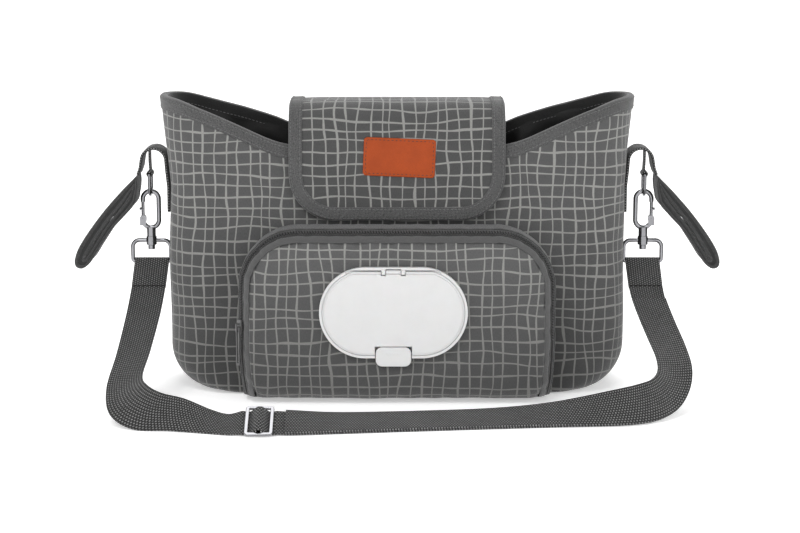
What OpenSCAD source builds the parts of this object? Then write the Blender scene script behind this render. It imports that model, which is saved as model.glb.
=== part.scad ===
// Diaper bag that hangs from a stroller handle: soft body, flap, zip pocket, wipes lid, straps.
// Units: millimetres. +Z up, +X to the right seen from the front, +Y to the back.
// Origin: on the floor, under the middle of the body.

/* [Bag body] */
// half width of the body at mid height
body_half_w = 196.5; // [150:0.5:240]
// how much wider each side is at the top corner
rim_flare = 7.5; // [2:0.5:15]
// half depth of the body at the base
base_half_d = 58; // [40:1:80]
// half depth of the body at the rim
rim_half_d = 44; // [36:1:58]
// rim height at the middle
rim_low = 208; // [190:1:240]
// how much higher the rim is at the corners
rim_rise = 46; // [10:1:70]
// bottom corner radius
corner_r = 40; // [20:1:60]

/* [Cloth] */
// outer fabric thickness
fabric_t = 1.4; // [0.8:0.1:2]
// foam interlining thickness
foam_t = 3; // [1:0.5:5]
// lining thickness
lining_t = 0.8; // [0.5:0.1:1.5]
// width of the tape that binds the rim and the flap
binding_w = 11; // [7:0.5:16]

/* [Flap] */
// flap half width
flap_half_w = 91.5; // [60:0.5:120]
// height of the flap's lower edge
flap_low = 151; // [150.5:0.5:175]
// radius of the flap's lower corners
flap_corner_r = 39; // [15:1:60]
// flap thickness
flap_t = 3; // [1.5:0.5:4]

/* [Zip pocket] */
// half width of the pocket at its gusset
pocket_half_w = 133; // [110:0.5:145]
// height of the pocket's top
pocket_top = 148; // [130:0.5:149]
// how far the pocket's face is in front of the middle
pocket_y = 98; // [85:0.5:110]
// corner radius of the pocket's top
pocket_r = 50; // [35:1:60]

/* [Wipes lid] */
// half of the straight length of the lid frame
lid_flat = 23.5; // [12:0.5:30]
// end radius of the lid frame
lid_r = 38.5; // [28:0.5:42]
// height of the lid's centre
lid_z = 80; // [70:1:88]

/* [Straps] */
// webbing width
web_w = 29.4; // [20:0.2:29.4]
// webbing thickness
web_t = 1.5; // [1:0.1:1.6]
// distance of the hooks from the body's side
hook_gap = 18.5; // [18.3:0.1:20]

/* [Hidden] */
E = 0.1;
top_half_w = body_half_w + rim_flare;
hook_x = body_half_w + hook_gap;
// how far the hooks are from where the strap's route was drawn
hook_shift = hook_x - 215;
// corners of the body seen from above
plan_r = 40;
plan_x = top_half_w + 2 - plan_r;
z_flare = 176;
z_taper = 70;
k_taper = (base_half_d - rim_half_d) / (215 - z_taper);
k_flare = (top_half_w - body_half_w) / (rim_low + rim_rise - z_flare);
L1 = fabric_t + E;
L2 = L1 + foam_t;
L3 = L2 + E;
L4 = L3 + lining_t;
hinge_y = rim_half_d + 4.7;
hinge_z = 205;
label_z = 204;

function arc2(cx, cy, r, a0, a1, n) =
    [for (k = [0:n]) [cx + r * cos(a0 + (a1 - a0) * k / n), cy + r * sin(a0 + (a1 - a0) * k / n)]];
function rim_z(x) = rim_low + rim_rise * pow(min(abs(x) / top_half_w, 1), 2.4);
function side_x(i, z) = body_half_w - i + k_flare * (z - z_flare);
function rim_pts(x0, dz) = [for (k = [0:30]) let (x = x0 * (1 - 2 * k / 30)) [x, rim_z(x) + dz]];
function top_pts(i, dz, open) = open
    ? [[side_x(i, 300), 300], [-side_x(i, 300), 300]]
    : rim_pts(side_x(i, rim_z(side_x(i, rim_low + rim_rise)) + dz), dz);
function outline(i, dz, open) = concat(
    arc2(-(body_half_w - corner_r), corner_r, corner_r - i, 180, 270, 8),
    arc2(body_half_w - corner_r, corner_r, corner_r - i, 270, 360, 8),
    [[side_x(i, z_flare), z_flare]],
    top_pts(i, dz, open),
    [[-side_x(i, z_flare), z_flare]]);
function half_d(z) = base_half_d - max(0, z - z_taper) * k_taper;

// a flat shape drawn in X and Z, given depth along Y
module along_y(y0, y1) translate([0, y1, 0]) rotate([90, 0, 0])
    linear_extrude(height = y1 - y0) children();
// a flat shape drawn in Y and Z, given width along X
module along_x(x0, x1) translate([x0, 0, 0]) rotate([90, 0, 90]) linear_extrude(height = x1 - x0) children();
module box(a, b) translate(a) cube(b - a);

// the body's outer shape moved inwards by i, its rim raised by dz, or open at the top
module core(i, dz = 0, open = false) intersection() {
    along_y(-100, 100) polygon(outline(i, dz, open));
    translate([0, 0, -5]) linear_extrude(height = 310) polygon(concat(
        arc2(-plan_x, -(base_half_d - plan_r), plan_r - i, 180, 270, 6),
        arc2(plan_x, -(base_half_d - plan_r), plan_r - i, 270, 360, 6),
        arc2(plan_x, base_half_d - plan_r, plan_r - i, 0, 90, 6),
        arc2(-plan_x, base_half_d - plan_r, plan_r - i, 90, 180, 6)));
    along_x(-250, 250) polygon([[-(base_half_d - i), -5], [base_half_d - i, -5],
        [base_half_d - i, z_taper], [half_d(310) - i, 310],
        [-(half_d(310) - i), 310], [-(base_half_d - i), z_taper]]);
}
module layer(a, b) difference() {
    core(a);
    core(b, 0, true);
}

module front_panel() color([0.34, 0.34, 0.34]) difference() {
    layer(0, fabric_t);
    box([-250, -0.15, -10], [250, 100, 320]);
    box([-250, -(base_half_d - fabric_t - 0.1), -10], [250, 10, corner_r]);
}
module back_panel() color([0.34, 0.34, 0.34]) mirror([0, 1, 0]) front_panel();
module base_panel() color([0.3, 0.3, 0.3]) intersection() {
    layer(0, fabric_t);
    box([-250, -(base_half_d - fabric_t - 0.2), -10], [250, base_half_d - fabric_t - 0.2, corner_r - E]);
}
module foam_front() color([0.9, 0.9, 0.86]) intersection() {
    layer(L1, L2);
    box([-250, -100, 8], [250, -0.1, 320]);
}
module foam_back() color([0.9, 0.9, 0.86]) mirror([0, 1, 0]) foam_front();
module base_board() color([0.2, 0.2, 0.2]) intersection() {
    layer(L1, L2);
    box([-250, -100, -10], [250, 100, 7.9]);
}
module lining() color([0.13, 0.13, 0.14]) layer(L3, L4);
module rim_binding() color([0.36, 0.36, 0.36]) difference() {
    intersection() {
        difference() {
            core(-0.9, 1);
            core(L4 + 0.9, 0, true);
        }
        along_y(-100, 100) polygon(concat(
            rim_pts(top_half_w + 6, 6),
            [for (k = [0:30]) let (x = (top_half_w + 6) * (2 * k / 30 - 1))
                [x, rim_z(x) + 1 - binding_w]]));
    }
    difference() {
        core(-E, E);
        core(L4 + E, 0, true);
    }
}

// the flap: a line from the hinge over the rim and down the front, with thickness
function flap_line() = concat(
    [[hinge_y, hinge_z], [hinge_y + 0.3, 222]],
    arc2(hinge_y - 17.7, 226, 18, 0, 78, 6),
    [[10, 247.5], [-10, 248.7]],
    arc2(-24, 223.8, 24.3, 80, 172, 7),
    [[-rim_half_d - 5.2 - k_taper * 65, 150]]);
function unit(v) = v / norm(v);
function nrm(p, k) =
    let (a = p[max(k - 1, 0)], b = p[min(k + 1, len(p) - 1)], d = unit(b - a)) [d[1], -d[0]];
function strip(p, t0, t1) = concat(
    [for (k = [0:len(p) - 1]) p[k] + t1 * nrm(p, k)],
    [for (k = [len(p) - 1:-1:0]) p[k] + t0 * nrm(p, k)]);
module flap_face(i) polygon(concat(
    arc2(-(flap_half_w - flap_corner_r), flap_low + flap_corner_r, flap_corner_r - i, 180, 270, 10),
    arc2(flap_half_w - flap_corner_r, flap_low + flap_corner_r, flap_corner_r - i, 270, 360, 10),
    [[flap_half_w - i, 280], [-(flap_half_w - i), 280]]));
// everything the flap's front leg covers, for cutting its outline
module flap_cut(i, w) {
    intersection() {
        along_y(-90, -10) flap_face(i);
        box([-w, -90, 100], [w, -10, 290]);
    }
    box([-w, -10.1, 195], [w, 70, 290]);
}
module flap_panel() color([0.34, 0.34, 0.34]) difference() {
    intersection() {
        along_x(-120, 120) polygon(strip(flap_line(), -flap_t / 2, flap_t / 2));
        flap_cut(0.8, flap_half_w - 0.8);
    }
    box([-120, 30, 190], [120, 70, hinge_z]);
}
module flap_binding() color([0.36, 0.36, 0.36]) difference() {
    intersection() {
        along_x(-120, 120) polygon(strip(flap_line(), -flap_t / 2 - 0.8, flap_t / 2 + 0.8));
        flap_cut(0, flap_half_w);
    }
    intersection() {
        along_x(-120, 120) polygon(strip(flap_line(), -flap_t / 2 - 0.05, flap_t / 2 + 0.05));
        flap_cut(0.75, flap_half_w - 0.75);
    }
    flap_cut(binding_w, flap_half_w - binding_w);
    box([-120, 30, 190], [120, 70, hinge_z + 13]);
}
// a point on the flap's straight front leg, d in front of its outside, at height z
module on_flap(z, d) translate([0, -rim_half_d - 5.2 - k_taper * (215 - z) - flap_t / 2 - d, z])
    rotate([90 - atan(k_taper), 0, 0]) children();
module rounded_plate(w, h, r, t) linear_extrude(height = t) polygon(concat(
    arc2(-w / 2 + r, -h / 2 + r, r, 180, 270, 5), arc2(w / 2 - r, -h / 2 + r, r, 270, 360, 5),
    arc2(w / 2 - r, h / 2 - r, r, 0, 90, 5), arc2(-w / 2 + r, h / 2 - r, r, 90, 180, 5)));
module flap_label() color([0.69, 0.31, 0.15]) on_flap(label_z, 0.1) translate([2, 0, 0])
    rotate([0, 0, -2.3]) rounded_plate(61, 32.5, 3, 1.6);
module flap_hook_tape() color([0.1, 0.1, 0.1]) on_flap(177, -flap_t - 1.3) rounded_plate(90, 18, 1, 1.2);
module front_loop_tape() color([0.15, 0.15, 0.15]) translate([0, -half_d(177), 177])
    rotate([90 - atan(k_taper), 0, 0]) translate([0, 0, 0.1]) rounded_plate(96, 22, 1, 1.8);
module flap_anchor() color([0.36, 0.36, 0.36]) intersection() {
    along_x(-flap_half_w + 1, flap_half_w - 1) polygon([
        [half_d(180) + 0.1, 180], [half_d(180) + 1.6, 180], [half_d(202.6) + 2.6, 202.6],
        [half_d(202.6) + 1.1, 202.6], [half_d(196.4) + 1.1, 196.4], [half_d(195) + 0.1, 195]]);
    box([-120, 20, 179], [120, 70, 203]);
}

// the pocket: a cross-section of distance from the corner centre and depth, swept over an arch
pocket_cx = pocket_half_w - pocket_r;
pocket_cz = pocket_top - pocket_r;
module arch(z0 = 1.6) {
    translate([0, 0, pocket_cz]) rotate([90, 0, 90]) translate([0, 0, -pocket_cx])
        linear_extrude(height = 2 * pocket_cx) rotate([0, 0, 90]) children();
    for (s = [0, 1]) mirror([s, 0, 0]) {
        translate([pocket_cx, 0, pocket_cz]) rotate([90, 0, 0]) rotate_extrude(angle = 90) children();
        translate([pocket_cx, 0, z0]) linear_extrude(height = pocket_cz - z0) mirror([0, 1]) children();
    }
}
y_a = pocket_y - 14;
y_b = pocket_y - 4;
module pocket_gusset() color([0.27, 0.27, 0.27]) difference() {
    arch() polygon([[pocket_r - 1.4, 30], [pocket_r, 30], [pocket_r, y_a], [pocket_r - 1.4, y_a]]);
    core(-E, 2);
    front_cut();
}
// the zip runs on the slanted band between the gusset and the face
function zip_at(s, h) = [pocket_r - 0.5 * s + 0.87 * h, y_a + 0.1 + 0.87 * s + 0.5 * h];
function zip_rect(s0, s1, h0, h1) = [zip_at(s0, h0), zip_at(s1, h0), zip_at(s1, h1), zip_at(s0, h1)];
module zip_tape_rear() color([0.2, 0.2, 0.2]) difference() {
    arch() polygon(zip_rect(0.6, 4.4, -1.2, -0.2));
    front_cut();
}
module zip_tape_front() color([0.2, 0.2, 0.2]) difference() {
    arch() polygon(zip_rect(5.6, 9.6, -1.2, -0.2));
    front_cut();
}
module zip_teeth_rear() color([0.3, 0.3, 0.31]) arch(52) polygon(zip_rect(3.2, 4.4, -0.1, 0.8));
module zip_teeth_front() color([0.3, 0.3, 0.31]) arch(52) polygon(zip_rect(5.6, 6.8, -0.1, 0.8));
module pocket_piping() color([0.55, 0.55, 0.54]) difference() {
    arch() polygon([zip_at(9.9, -1.4), zip_at(9.9, 0.2),
        [pocket_r - 9.3, pocket_y], [pocket_r - 9.3, pocket_y - 1.6]]);
    front_cut();
}
// the chamfer at the pocket's lower front edge
module front_cut() along_x(-200, 200) polygon([[-120, -5], [-78 + 0.1, -5], [-78 + 0.1, 0],
    [-pocket_y + 0.1, 22], [-120, 22]]);
module face_outline(i) polygon(concat(
    [[-pocket_half_w + i, 22.5], [pocket_half_w - i, 22.5]],
    arc2(pocket_cx, pocket_cz, pocket_r - i, 0, 90, 10),
    arc2(-pocket_cx, pocket_cz, pocket_r - i, 90, 180, 10)));
module pocket_face() color([0.36, 0.36, 0.36]) difference() {
    along_y(-pocket_y - 0.2, -pocket_y + 1.2) face_outline(9.5);
    at_lid(-20, 20) stadium(-5.2);
}
module pocket_base() color([0.33, 0.33, 0.33]) along_x(-pocket_half_w + 9.6, pocket_half_w - 9.6) polygon([
    [-base_half_d - 0.1, 0], [-78, 0], [-pocket_y - 0.2, 22.3], [-pocket_y + 1.2, 22.3],
    [-77.4, 1.4], [-base_half_d - 0.1, 1.4]]);

// wipes lid on the pocket's face; positions along Y are distances in front of the face
module at_lid(a, b) translate([-3, -pocket_y, lid_z]) along_y(-b, -a) children();
module stadium(i) {
    square([2 * lid_flat, 2 * (lid_r + i)], center = true);
    translate([lid_flat, 0]) circle(r = lid_r + i);
    translate([-lid_flat, 0]) circle(r = lid_r + i);
}
hinge_lz = lid_r - 4;
module wipes_frame() color([0.88, 0.88, 0.88]) difference() {
    union() {
        at_lid(0.3, 2.4) stadium(0);
        at_lid(-2.6, 0.4) stadium(-5.4);
        at_lid(2.3, 4.4) difference() {
            stadium(0);
            stadium(-2.2);
        }
        for (s = [-1, 1]) at_lid(2.3, 5.1) translate([s * 8.2, hinge_lz]) square([3, 3.6], center = true);
    }
    at_lid(-10, 10) stadium(-10.5);
    at_lid(-10, 10) translate([0, -lid_r + 3.5]) square([31, 15], center = true);
    translate([-3 - 12, -pocket_y - 3.6, lid_z + hinge_lz]) rotate([0, 90, 0]) cylinder(r = 0.8, h = 24);
    translate([-3 - 6.4, -pocket_y - 8, lid_z + hinge_lz - 2.2]) cube([12.8, 6.5, 5]);
    for (s = [-1, 1]) translate([-3 + s * 25, -pocket_y - 3.6, lid_z + hinge_lz])
        rotate([0, 90, 0]) cylinder(r = 2, h = 29.6, center = true);
}
module wipes_ring() color([0.8, 0.8, 0.8]) difference() {
    at_lid(-4.2, -2.7) stadium(0);
    at_lid(-10, 10) stadium(-10.5);
}
module wipes_pin() color([0.7, 0.7, 0.7]) translate([-3 - 9.7, -pocket_y - 3.6, lid_z + hinge_lz])
    rotate([0, 90, 0]) cylinder(r = 0.8, h = 19.4);
module wipes_lid() color([0.9, 0.9, 0.9]) difference() {
    union() {
        difference() {
            at_lid(2.8, 4.4) stadium(-2.6);
            at_lid(1, 8) translate([0, hinge_lz + 5.2]) square([80, 10], center = true);
        }
        difference() {
            at_lid(4.3, 5.6) stadium(-4.4);
            at_lid(1, 8) translate([0, hinge_lz + 3]) square([80, 10], center = true);
        }
        translate([-3 - 6, -pocket_y - 3.6, lid_z + hinge_lz]) rotate([0, 90, 0]) cylinder(r = 1.7, h = 12);
    }
    translate([-3 - 7, -pocket_y - 3.6, lid_z + hinge_lz]) rotate([0, 90, 0]) cylinder(r = 0.85, h = 14);
    for (s = [-1, 1]) at_lid(1, 8) translate([s * 8.3, hinge_lz + 1]) square([4.2, 8], center = true);
    at_lid(1, 8) translate([0, -lid_r + 1.5]) square([31.2, 17.6], center = true);
}
module wipes_seal() color([0.75, 0.75, 0.75]) difference() {
    at_lid(-2.4, 2.2) stadium(-10.6);
    at_lid(-10, 10) stadium(-12.2);
}
module wipes_button() color([0.87, 0.87, 0.87]) union() {
    at_lid(2.9, 4.5) translate([0, -lid_r + 1.3]) square([30, 16.8], center = true);
    at_lid(2.9, 5.3) translate([0, -lid_r - 5]) square([24, 2.2], center = true);
    at_lid(2.9, 5.3) translate([0, -lid_r - 1]) square([18, 1.4], center = true);
}

// zip slider at the lower left end of the zip
slider_z = 60;
module at_zip(z) translate([-pocket_cx, 0, z]) mirror([1, 0, 0]) mirror([0, 1, 0]) children();
module zip_slider() color([0.5, 0.5, 0.5]) at_zip(slider_z) union() {
    linear_extrude(height = 12) polygon(zip_rect(1.2, 8.8, 1.2, 2.6));
    linear_extrude(height = 12) polygon(zip_rect(1.2, 8.8, -2.7, -1.6));
    linear_extrude(height = 2.4) polygon(zip_rect(4.8, 5.2, -2.6, 2));
    for (z = [1.6, 7.4])
        translate([0, 0, z]) linear_extrude(height = 1.4) polygon(zip_rect(4.2, 5.8, 2.5, 5.6));
    translate([0, 0, 1.6]) linear_extrude(height = 7.2) polygon(zip_rect(4.2, 5.8, 4.6, 5.6));
}
module zip_pull() color([0.55, 0.55, 0.55]) at_zip(slider_z) difference() {
    translate([0, 0, -27]) linear_extrude(height = 33) polygon(zip_rect(2.1, 7.9, 3.05, 4.25));
    translate([0, 0, -25.4]) linear_extrude(height = 30.2) polygon(zip_rect(3.4, 6.6, 2, 5));
}

// side hardware, drawn for the right and mirrored for the left
module both(s) mirror([s, 0, 0]) children();
arch_c = [hook_x - 4.4, 196.6];
arch_line = concat([[body_half_w + 1.4, 152], [body_half_w + 1.4, 174], [body_half_w + 2.9, 188]],
    arc2(arch_c[0], arch_c[1], 10.6, 172, 8, 9), [[hook_x + 7.4, 190], [hook_x + 9.4, 184.4]]);
pad_hinge = [hook_x + 10.6, 182.6];
module side_web(s) color([0.25, 0.25, 0.25]) both(s) difference() {
    along_y(-15, 15) polygon(strip(arch_line, -web_t / 2 - 0.4, web_t / 2 + 0.4));
    along_y(-16, 16) translate(pad_hinge) circle(r = 2.6);
}
module side_tab(s) color([0.16, 0.16, 0.16]) both(s) difference() {
    union() {
        along_y(-7, 7) translate([hook_x, 184]) circle(r = 3);
        intersection() {
            along_y(-7, 7) translate([hook_x - 1.6, 184]) square([3.2, 23]);
            along_y(-8, 8) translate(arch_c) circle(r = 9.3);
        }
        along_y(-7, 7) translate([hook_x - 1.6, 184]) square([3.2, 12]);
    }
    along_y(-9, 9) translate([hook_x, 184]) circle(r = 1.4);
}
module side_web_left() side_web(1);
module side_web_right() side_web(0);
module side_tab_left() side_tab(1);
module side_tab_right() side_tab(0);

pad_top = [[223.6, 181.8], [227, 184.2], [231.6, 177], [243, 165.5], [256, 150.5], [269, 133],
    [277, 120], [280, 111.5]];
pad_tip = [[280.4, 107], [279, 103.8], [275.5, 102.4], [271.5, 103.6]];
pad_low = [[266, 109], [258.5, 120.5], [248, 136], [236, 149], [227.8, 158.5], [226.2, 166]];
slit = [[229, 174.4], [239.6, 158.8], [252, 143.8], [263.4, 126.8], [271, 112.6],
    [268.2, 111.2], [259.8, 125], [248.8, 141.6], [236.8, 156.2], [228.4, 168.6]];
module stroller_pad(s) color([0.3, 0.3, 0.3]) both(s) difference() {
    union() {
        along_y(-19, 19) translate([hook_shift, 0]) polygon(concat(pad_top, pad_tip, pad_low));
        along_y(-19, 19) translate(pad_hinge) circle(r = 2.2);
    }
    along_y(-20, 20) translate([hook_shift, 0]) polygon(slit);
}
module pad_tape(s) color([0.08, 0.08, 0.08]) both(s) along_y(-18, 18) translate([hook_shift, 0])
    polygon([[229.1, 173.6], [239.4, 158.4], [246.6, 149.8], [244.6, 147.0], [237.1, 156.3], [228.6, 168.8]]);
module pad_left() stroller_pad(1);
module pad_right() stroller_pad(0);
module pad_tape_left() pad_tape(1);
module pad_tape_right() pad_tape(0);

ring_r = 1.35;
module d_ring(s) color([0.8, 0.8, 0.82]) both(s) translate([hook_x, 0, 0]) union() {
    translate([0, -9, 184]) rotate([-90, 0, 0]) cylinder(r = ring_r, h = 18);
    for (k = [-1, 1]) {
        translate([0, 9 * k, 184]) sphere(r = ring_r);
        translate([0, 9 * k, 174]) cylinder(r = ring_r, h = 10);
    }
    translate([0, 0, 174]) rotate([0, 90, 0]) rotate([0, 0, -90])
        rotate_extrude(angle = 180) translate([9, 0]) circle(r = ring_r);
}
module d_ring_left() d_ring(1);
module d_ring_right() d_ring(0);

// the hook: a bow on the inner side, a top bend with a tip, and a base that forks round the gate
bow = 6.9;
wire = 1.6;
module hook_body(s) color([0.82, 0.82, 0.84]) both(s) translate([hook_x, 0, 0]) difference() {
    union() {
        translate([0, 0, 161.4]) rotate([90, 0, 0])
            rotate_extrude(angle = 180) translate([bow, 0]) circle(r = wire);
        translate([0, 0, 143]) rotate([90, 0, 0]) rotate([0, 0, 180])
            rotate_extrude(angle = 180) translate([bow, 0]) circle(r = wire);
        translate([-bow, 0, 143]) cylinder(r = wire, h = 18.4);
        translate([bow, 0, 159.2]) cylinder(r = wire, h = 2.2);
        translate([0, 0, 128.8]) cylinder(r = 3.6, h = 7.4);
        box([bow - 2.4, -2.95, 138.6], [bow + 2.4, 2.95, 142]);
        for (y = [1.95, -2.95]) translate([bow, y + 1, 144.6]) rotate([90, 0, 0]) cylinder(r = 2.4, h = 1);
        for (y = [1.95, -2.95]) box([bow - 2.4, y, 141], [bow + 2.4, y + 1, 144.6]);
    }
    box([bow - 3, -1.95, 142], [bow + 3, 1.95, 148]);
    translate([bow, 4, 144.6]) rotate([90, 0, 0]) cylinder(r = 0.8, h = 8);
}
module hook_body_left() hook_body(1);
module hook_body_right() hook_body(0);
module hook_gate(s) color([0.85, 0.85, 0.87]) both(s) translate([hook_x + bow, 0, 144.6]) difference() {
    union() {
        translate([0, 1.6, 0]) rotate([90, 0, 0]) cylinder(r = 2.05, h = 3.2);
        translate([0, 0, 1]) cylinder(r = 1.25, h = 13.2);
        translate([0.3, 0, 8]) rotate([0, 90, 0]) cylinder(r = 1.1, h = 2.6);
    }
    translate([0, 3, 0]) rotate([90, 0, 0]) cylinder(r = 0.85, h = 6);
}
module hook_gate_left() hook_gate(1);
module hook_gate_right() hook_gate(0);
module gate_pin(s) color([0.6, 0.6, 0.62]) both(s) translate([hook_x + bow, 3.1, 144.6])
    rotate([90, 0, 0]) cylinder(r = 0.8, h = 6.2);
module gate_pin_left() gate_pin(1);
module gate_pin_right() gate_pin(0);
module swivel_stud(s) color([0.7, 0.7, 0.72]) both(s) translate([hook_x, 0, 0]) union() {
    translate([0, 0, 118.4]) cylinder(r = 2, h = 10.4);
    translate([0, 0, 117.2]) cylinder(r = 3.1, h = 3.9);
}
module swivel_stud_left() swivel_stud(1);
module swivel_stud_right() swivel_stud(0);
module swivel_eye(s) color([0.8, 0.8, 0.82]) both(s) translate([hook_x, 0, 0]) difference() {
    union() {
        translate([0, 0, 121.5]) cylinder(r = 4.4, h = 6.9);
        translate([-10.5, 0, 125]) rotate([0, 90, 0]) cylinder(r = 1.5, h = 21);
        translate([-14.3, 0, 106.5]) rotate([0, 90, 0]) cylinder(r = 1.5, h = 28.6);
        for (x = [-16.5, 16.5]) translate([x, 0, 108.7]) cylinder(r = 1.5, h = 10.3);
        for (c = [[10.5, 119, 0, 6], [-10.5, 119, 90, 6], [-14.3, 108.7, 180, 2.2],
                [14.3, 108.7, 270, 2.2]])
            translate([c[0], 0, c[1]]) rotate([90, 0, 0]) rotate([0, 0, c[2]])
                rotate_extrude(angle = 90) translate([c[3], 0]) circle(r = 1.5);
    }
    translate([0, 0, 120]) cylinder(r = 2.05, h = 10);
}
module swivel_eye_left() swivel_eye(1);
module swivel_eye_right() swivel_eye(0);

// webbing folded round the eye's lower bar and stitched to itself
module web_loop(s) color([0.25, 0.25, 0.25]) both(s) difference() {
    union() {
        along_x(hook_x - web_w / 2, hook_x + web_w / 2) translate([0, 106.5]) circle(r = 3.3);
        along_x(hook_x - web_w / 2, hook_x + web_w / 2)
            polygon([[-1.4, 104], [-27.6, 87.4], [-29.4, 90.2], [-2.4, 107.4]]);
    }
    along_x(hook_x - 30, hook_x + 30) translate([0, 106.5]) circle(r = 1.8);
}
module web_loop_left() web_loop(1);
module web_loop_right() web_loop(0);

// a strap between two edge lines, smoothed, with thickness t, moved off by o
function cr(p, k, u) =
    let (n = len(p) - 1, a = p[max(k - 1, 0)], b = p[k], c = p[min(k + 1, n)], d = p[min(k + 2, n)])
    0.5 * (2 * b + (c - a) * u + (2 * a - 5 * b + 4 * c - d) * u * u
        + (3 * b - a - 3 * c + d) * u * u * u);
function smooth(p, m) =
    concat([for (k = [0:len(p) - 2]) for (j = [0:m - 1]) cr(p, k, j / m)], [p[len(p) - 1]]);
function to_hooks(p) = [for (q = p) q + [hook_shift * max(-1, min(1, q[0] / 200.3)), 0, 0]];
module ribbon(a0, b0, t, o, k0 = 0, k1 = 0) {
    a = smooth(to_hooks(a0), 8);
    b = smooth(to_hooks(b0), 8);
    m = len(a) - 1;
    n = m + 1 - k0 - k1;
    nn = [for (k = [0:m])
        let (m0 = a[max(k - 1, 0)] + b[max(k - 1, 0)], m1 = a[min(k + 1, m)] + b[min(k + 1, m)])
        unit(cross(m1 - m0, b[k] - a[k]))];
    pts = [for (k = [k0:m - k1]) each [a[k] + nn[k] * (o - t / 2), b[k] + nn[k] * (o - t / 2),
        b[k] + nn[k] * (o + t / 2), a[k] + nn[k] * (o + t / 2)]];
    sides = [for (k = [0:n - 2]) for (j = [0:3]) each [
        [4 * k + j, 4 * k + (j + 1) % 4, 4 * k + 4 + (j + 1) % 4],
        [4 * k + j, 4 * k + 4 + (j + 1) % 4, 4 * k + 4 + j]]];
    e = 4 * n - 4;
    polyhedron(points = pts, faces = concat(sides,
        [[2, 1, 0], [3, 2, 0], [e, e + 1, e + 2], [e, e + 2, e + 3]]));
}
left_a = [[-229.7, -29.2, 88], [-231, -58, 71], [-234, -106, 46], [-238, -143, 25], [-232, -170, 9.5],
    [-212, -184, 1], [-183, -188, 0.8], [-152, -196, 0.8], [-135, -201, 1], [-124.6, -202.4, 1.5]];
left_b = [[-200.3, -29.2, 88], [-202, -58, 71], [-206, -102, 48], [-209, -134, 34.5], [-203, -155, 31],
    [-190, -168, 27.5], [-171, -173, 26], [-150, -175, 20.5], [-136, -175.5, 15.5], [-124.6, -175.8, 13.9]];
right_a = [[-95.4, -202.4, 1.5], [-80, -201, 1], [-46, -196, 0.8], [15, -188, 0.8],
    [81, -180, 0.8], [130, -175, 0.8], [184, -170, 0.8], [212, -157, 1.4], [230, -138, 6],
    [241, -124, 18], [245, -112, 33], [242, -94, 48],
    [236, -70, 64], [231, -44, 79.5], [229.7, -29.2, 88]];
right_b = [[-95.4, -175.8, 13.9], [-80, -175, 15], [-46, -174, 18], [15, -168, 20],
    [81, -166, 24], [130, -166, 27.5], [176, -159, 29], [196, -149, 30], [209, -139, 32],
    [215, -127, 37], [215, -112, 45], [211, -92, 55],
    [206, -68, 67.5], [202, -44, 79.8], [200.3, -29.2, 88]];
module strap_left() color([0.25, 0.25, 0.25]) ribbon(left_a, left_b, web_t, 0);
module strap_right() color([0.25, 0.25, 0.25]) ribbon(right_a, right_b, web_t, 0);
module strap_return() color([0.25, 0.25, 0.25]) ribbon(right_a, right_b, web_t, web_t + 0.5, 8, 8);

// the adjuster: a frame with a middle bar, leaning like the strap
module at_adjuster() translate([-110, -190, 9.5]) rotate([25, 0, 0]) children();
module adjuster() color([0.8, 0.8, 0.82]) at_adjuster() difference() {
    translate([0, 0, -1.1]) rounded_plate(23, 36.4, 3, 2.2);
    for (s = [-1, 1]) translate([s * 5.1, 0, -3]) rounded_plate(6.6, 30.4, 0.6, 6);
}
module adjuster_weave() color([0.25, 0.25, 0.25]) at_adjuster()
    rotate([90, 0, 0]) translate([0, 0, -web_w / 2]) linear_extrude(height = web_w)
    polygon(strip(concat([[14.2, -2.4], [7.4, -2.4]], arc2(0, -1.4, 4.1, 25, 155, 6),
        [[-7.4, -2.4], [-14.2, -2.4]]), -web_t / 2, web_t / 2));

front_panel();
back_panel();
base_panel();
foam_front();
foam_back();
base_board();
lining();
rim_binding();
flap_panel();
flap_binding();
flap_label();
flap_hook_tape();
front_loop_tape();
flap_anchor();
pocket_gusset();
zip_tape_rear();
zip_tape_front();
zip_teeth_rear();
zip_teeth_front();
pocket_piping();
pocket_face();
pocket_base();
wipes_frame();
wipes_ring();
wipes_pin();
wipes_lid();
wipes_seal();
wipes_button();
zip_slider();
zip_pull();
side_web_left();
side_web_right();
side_tab_left();
side_tab_right();
pad_left();
pad_right();
pad_tape_left();
pad_tape_right();
d_ring_left();
d_ring_right();
hook_body_left();
hook_body_right();
hook_gate_left();
hook_gate_right();
gate_pin_left();
gate_pin_right();
swivel_stud_left();
swivel_stud_right();
swivel_eye_left();
swivel_eye_right();
web_loop_left();
web_loop_right();
strap_left();
strap_right();
strap_return();
adjuster();
adjuster_weave();
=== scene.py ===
"""Looks for a diaper bag that hangs from a stroller handle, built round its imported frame.

Shapes are worked out in millimetres and become metres when a mesh is made.
+X is right seen from the front, +Y is back, +Z is up, and the floor is at zero.
"""
import math

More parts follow.
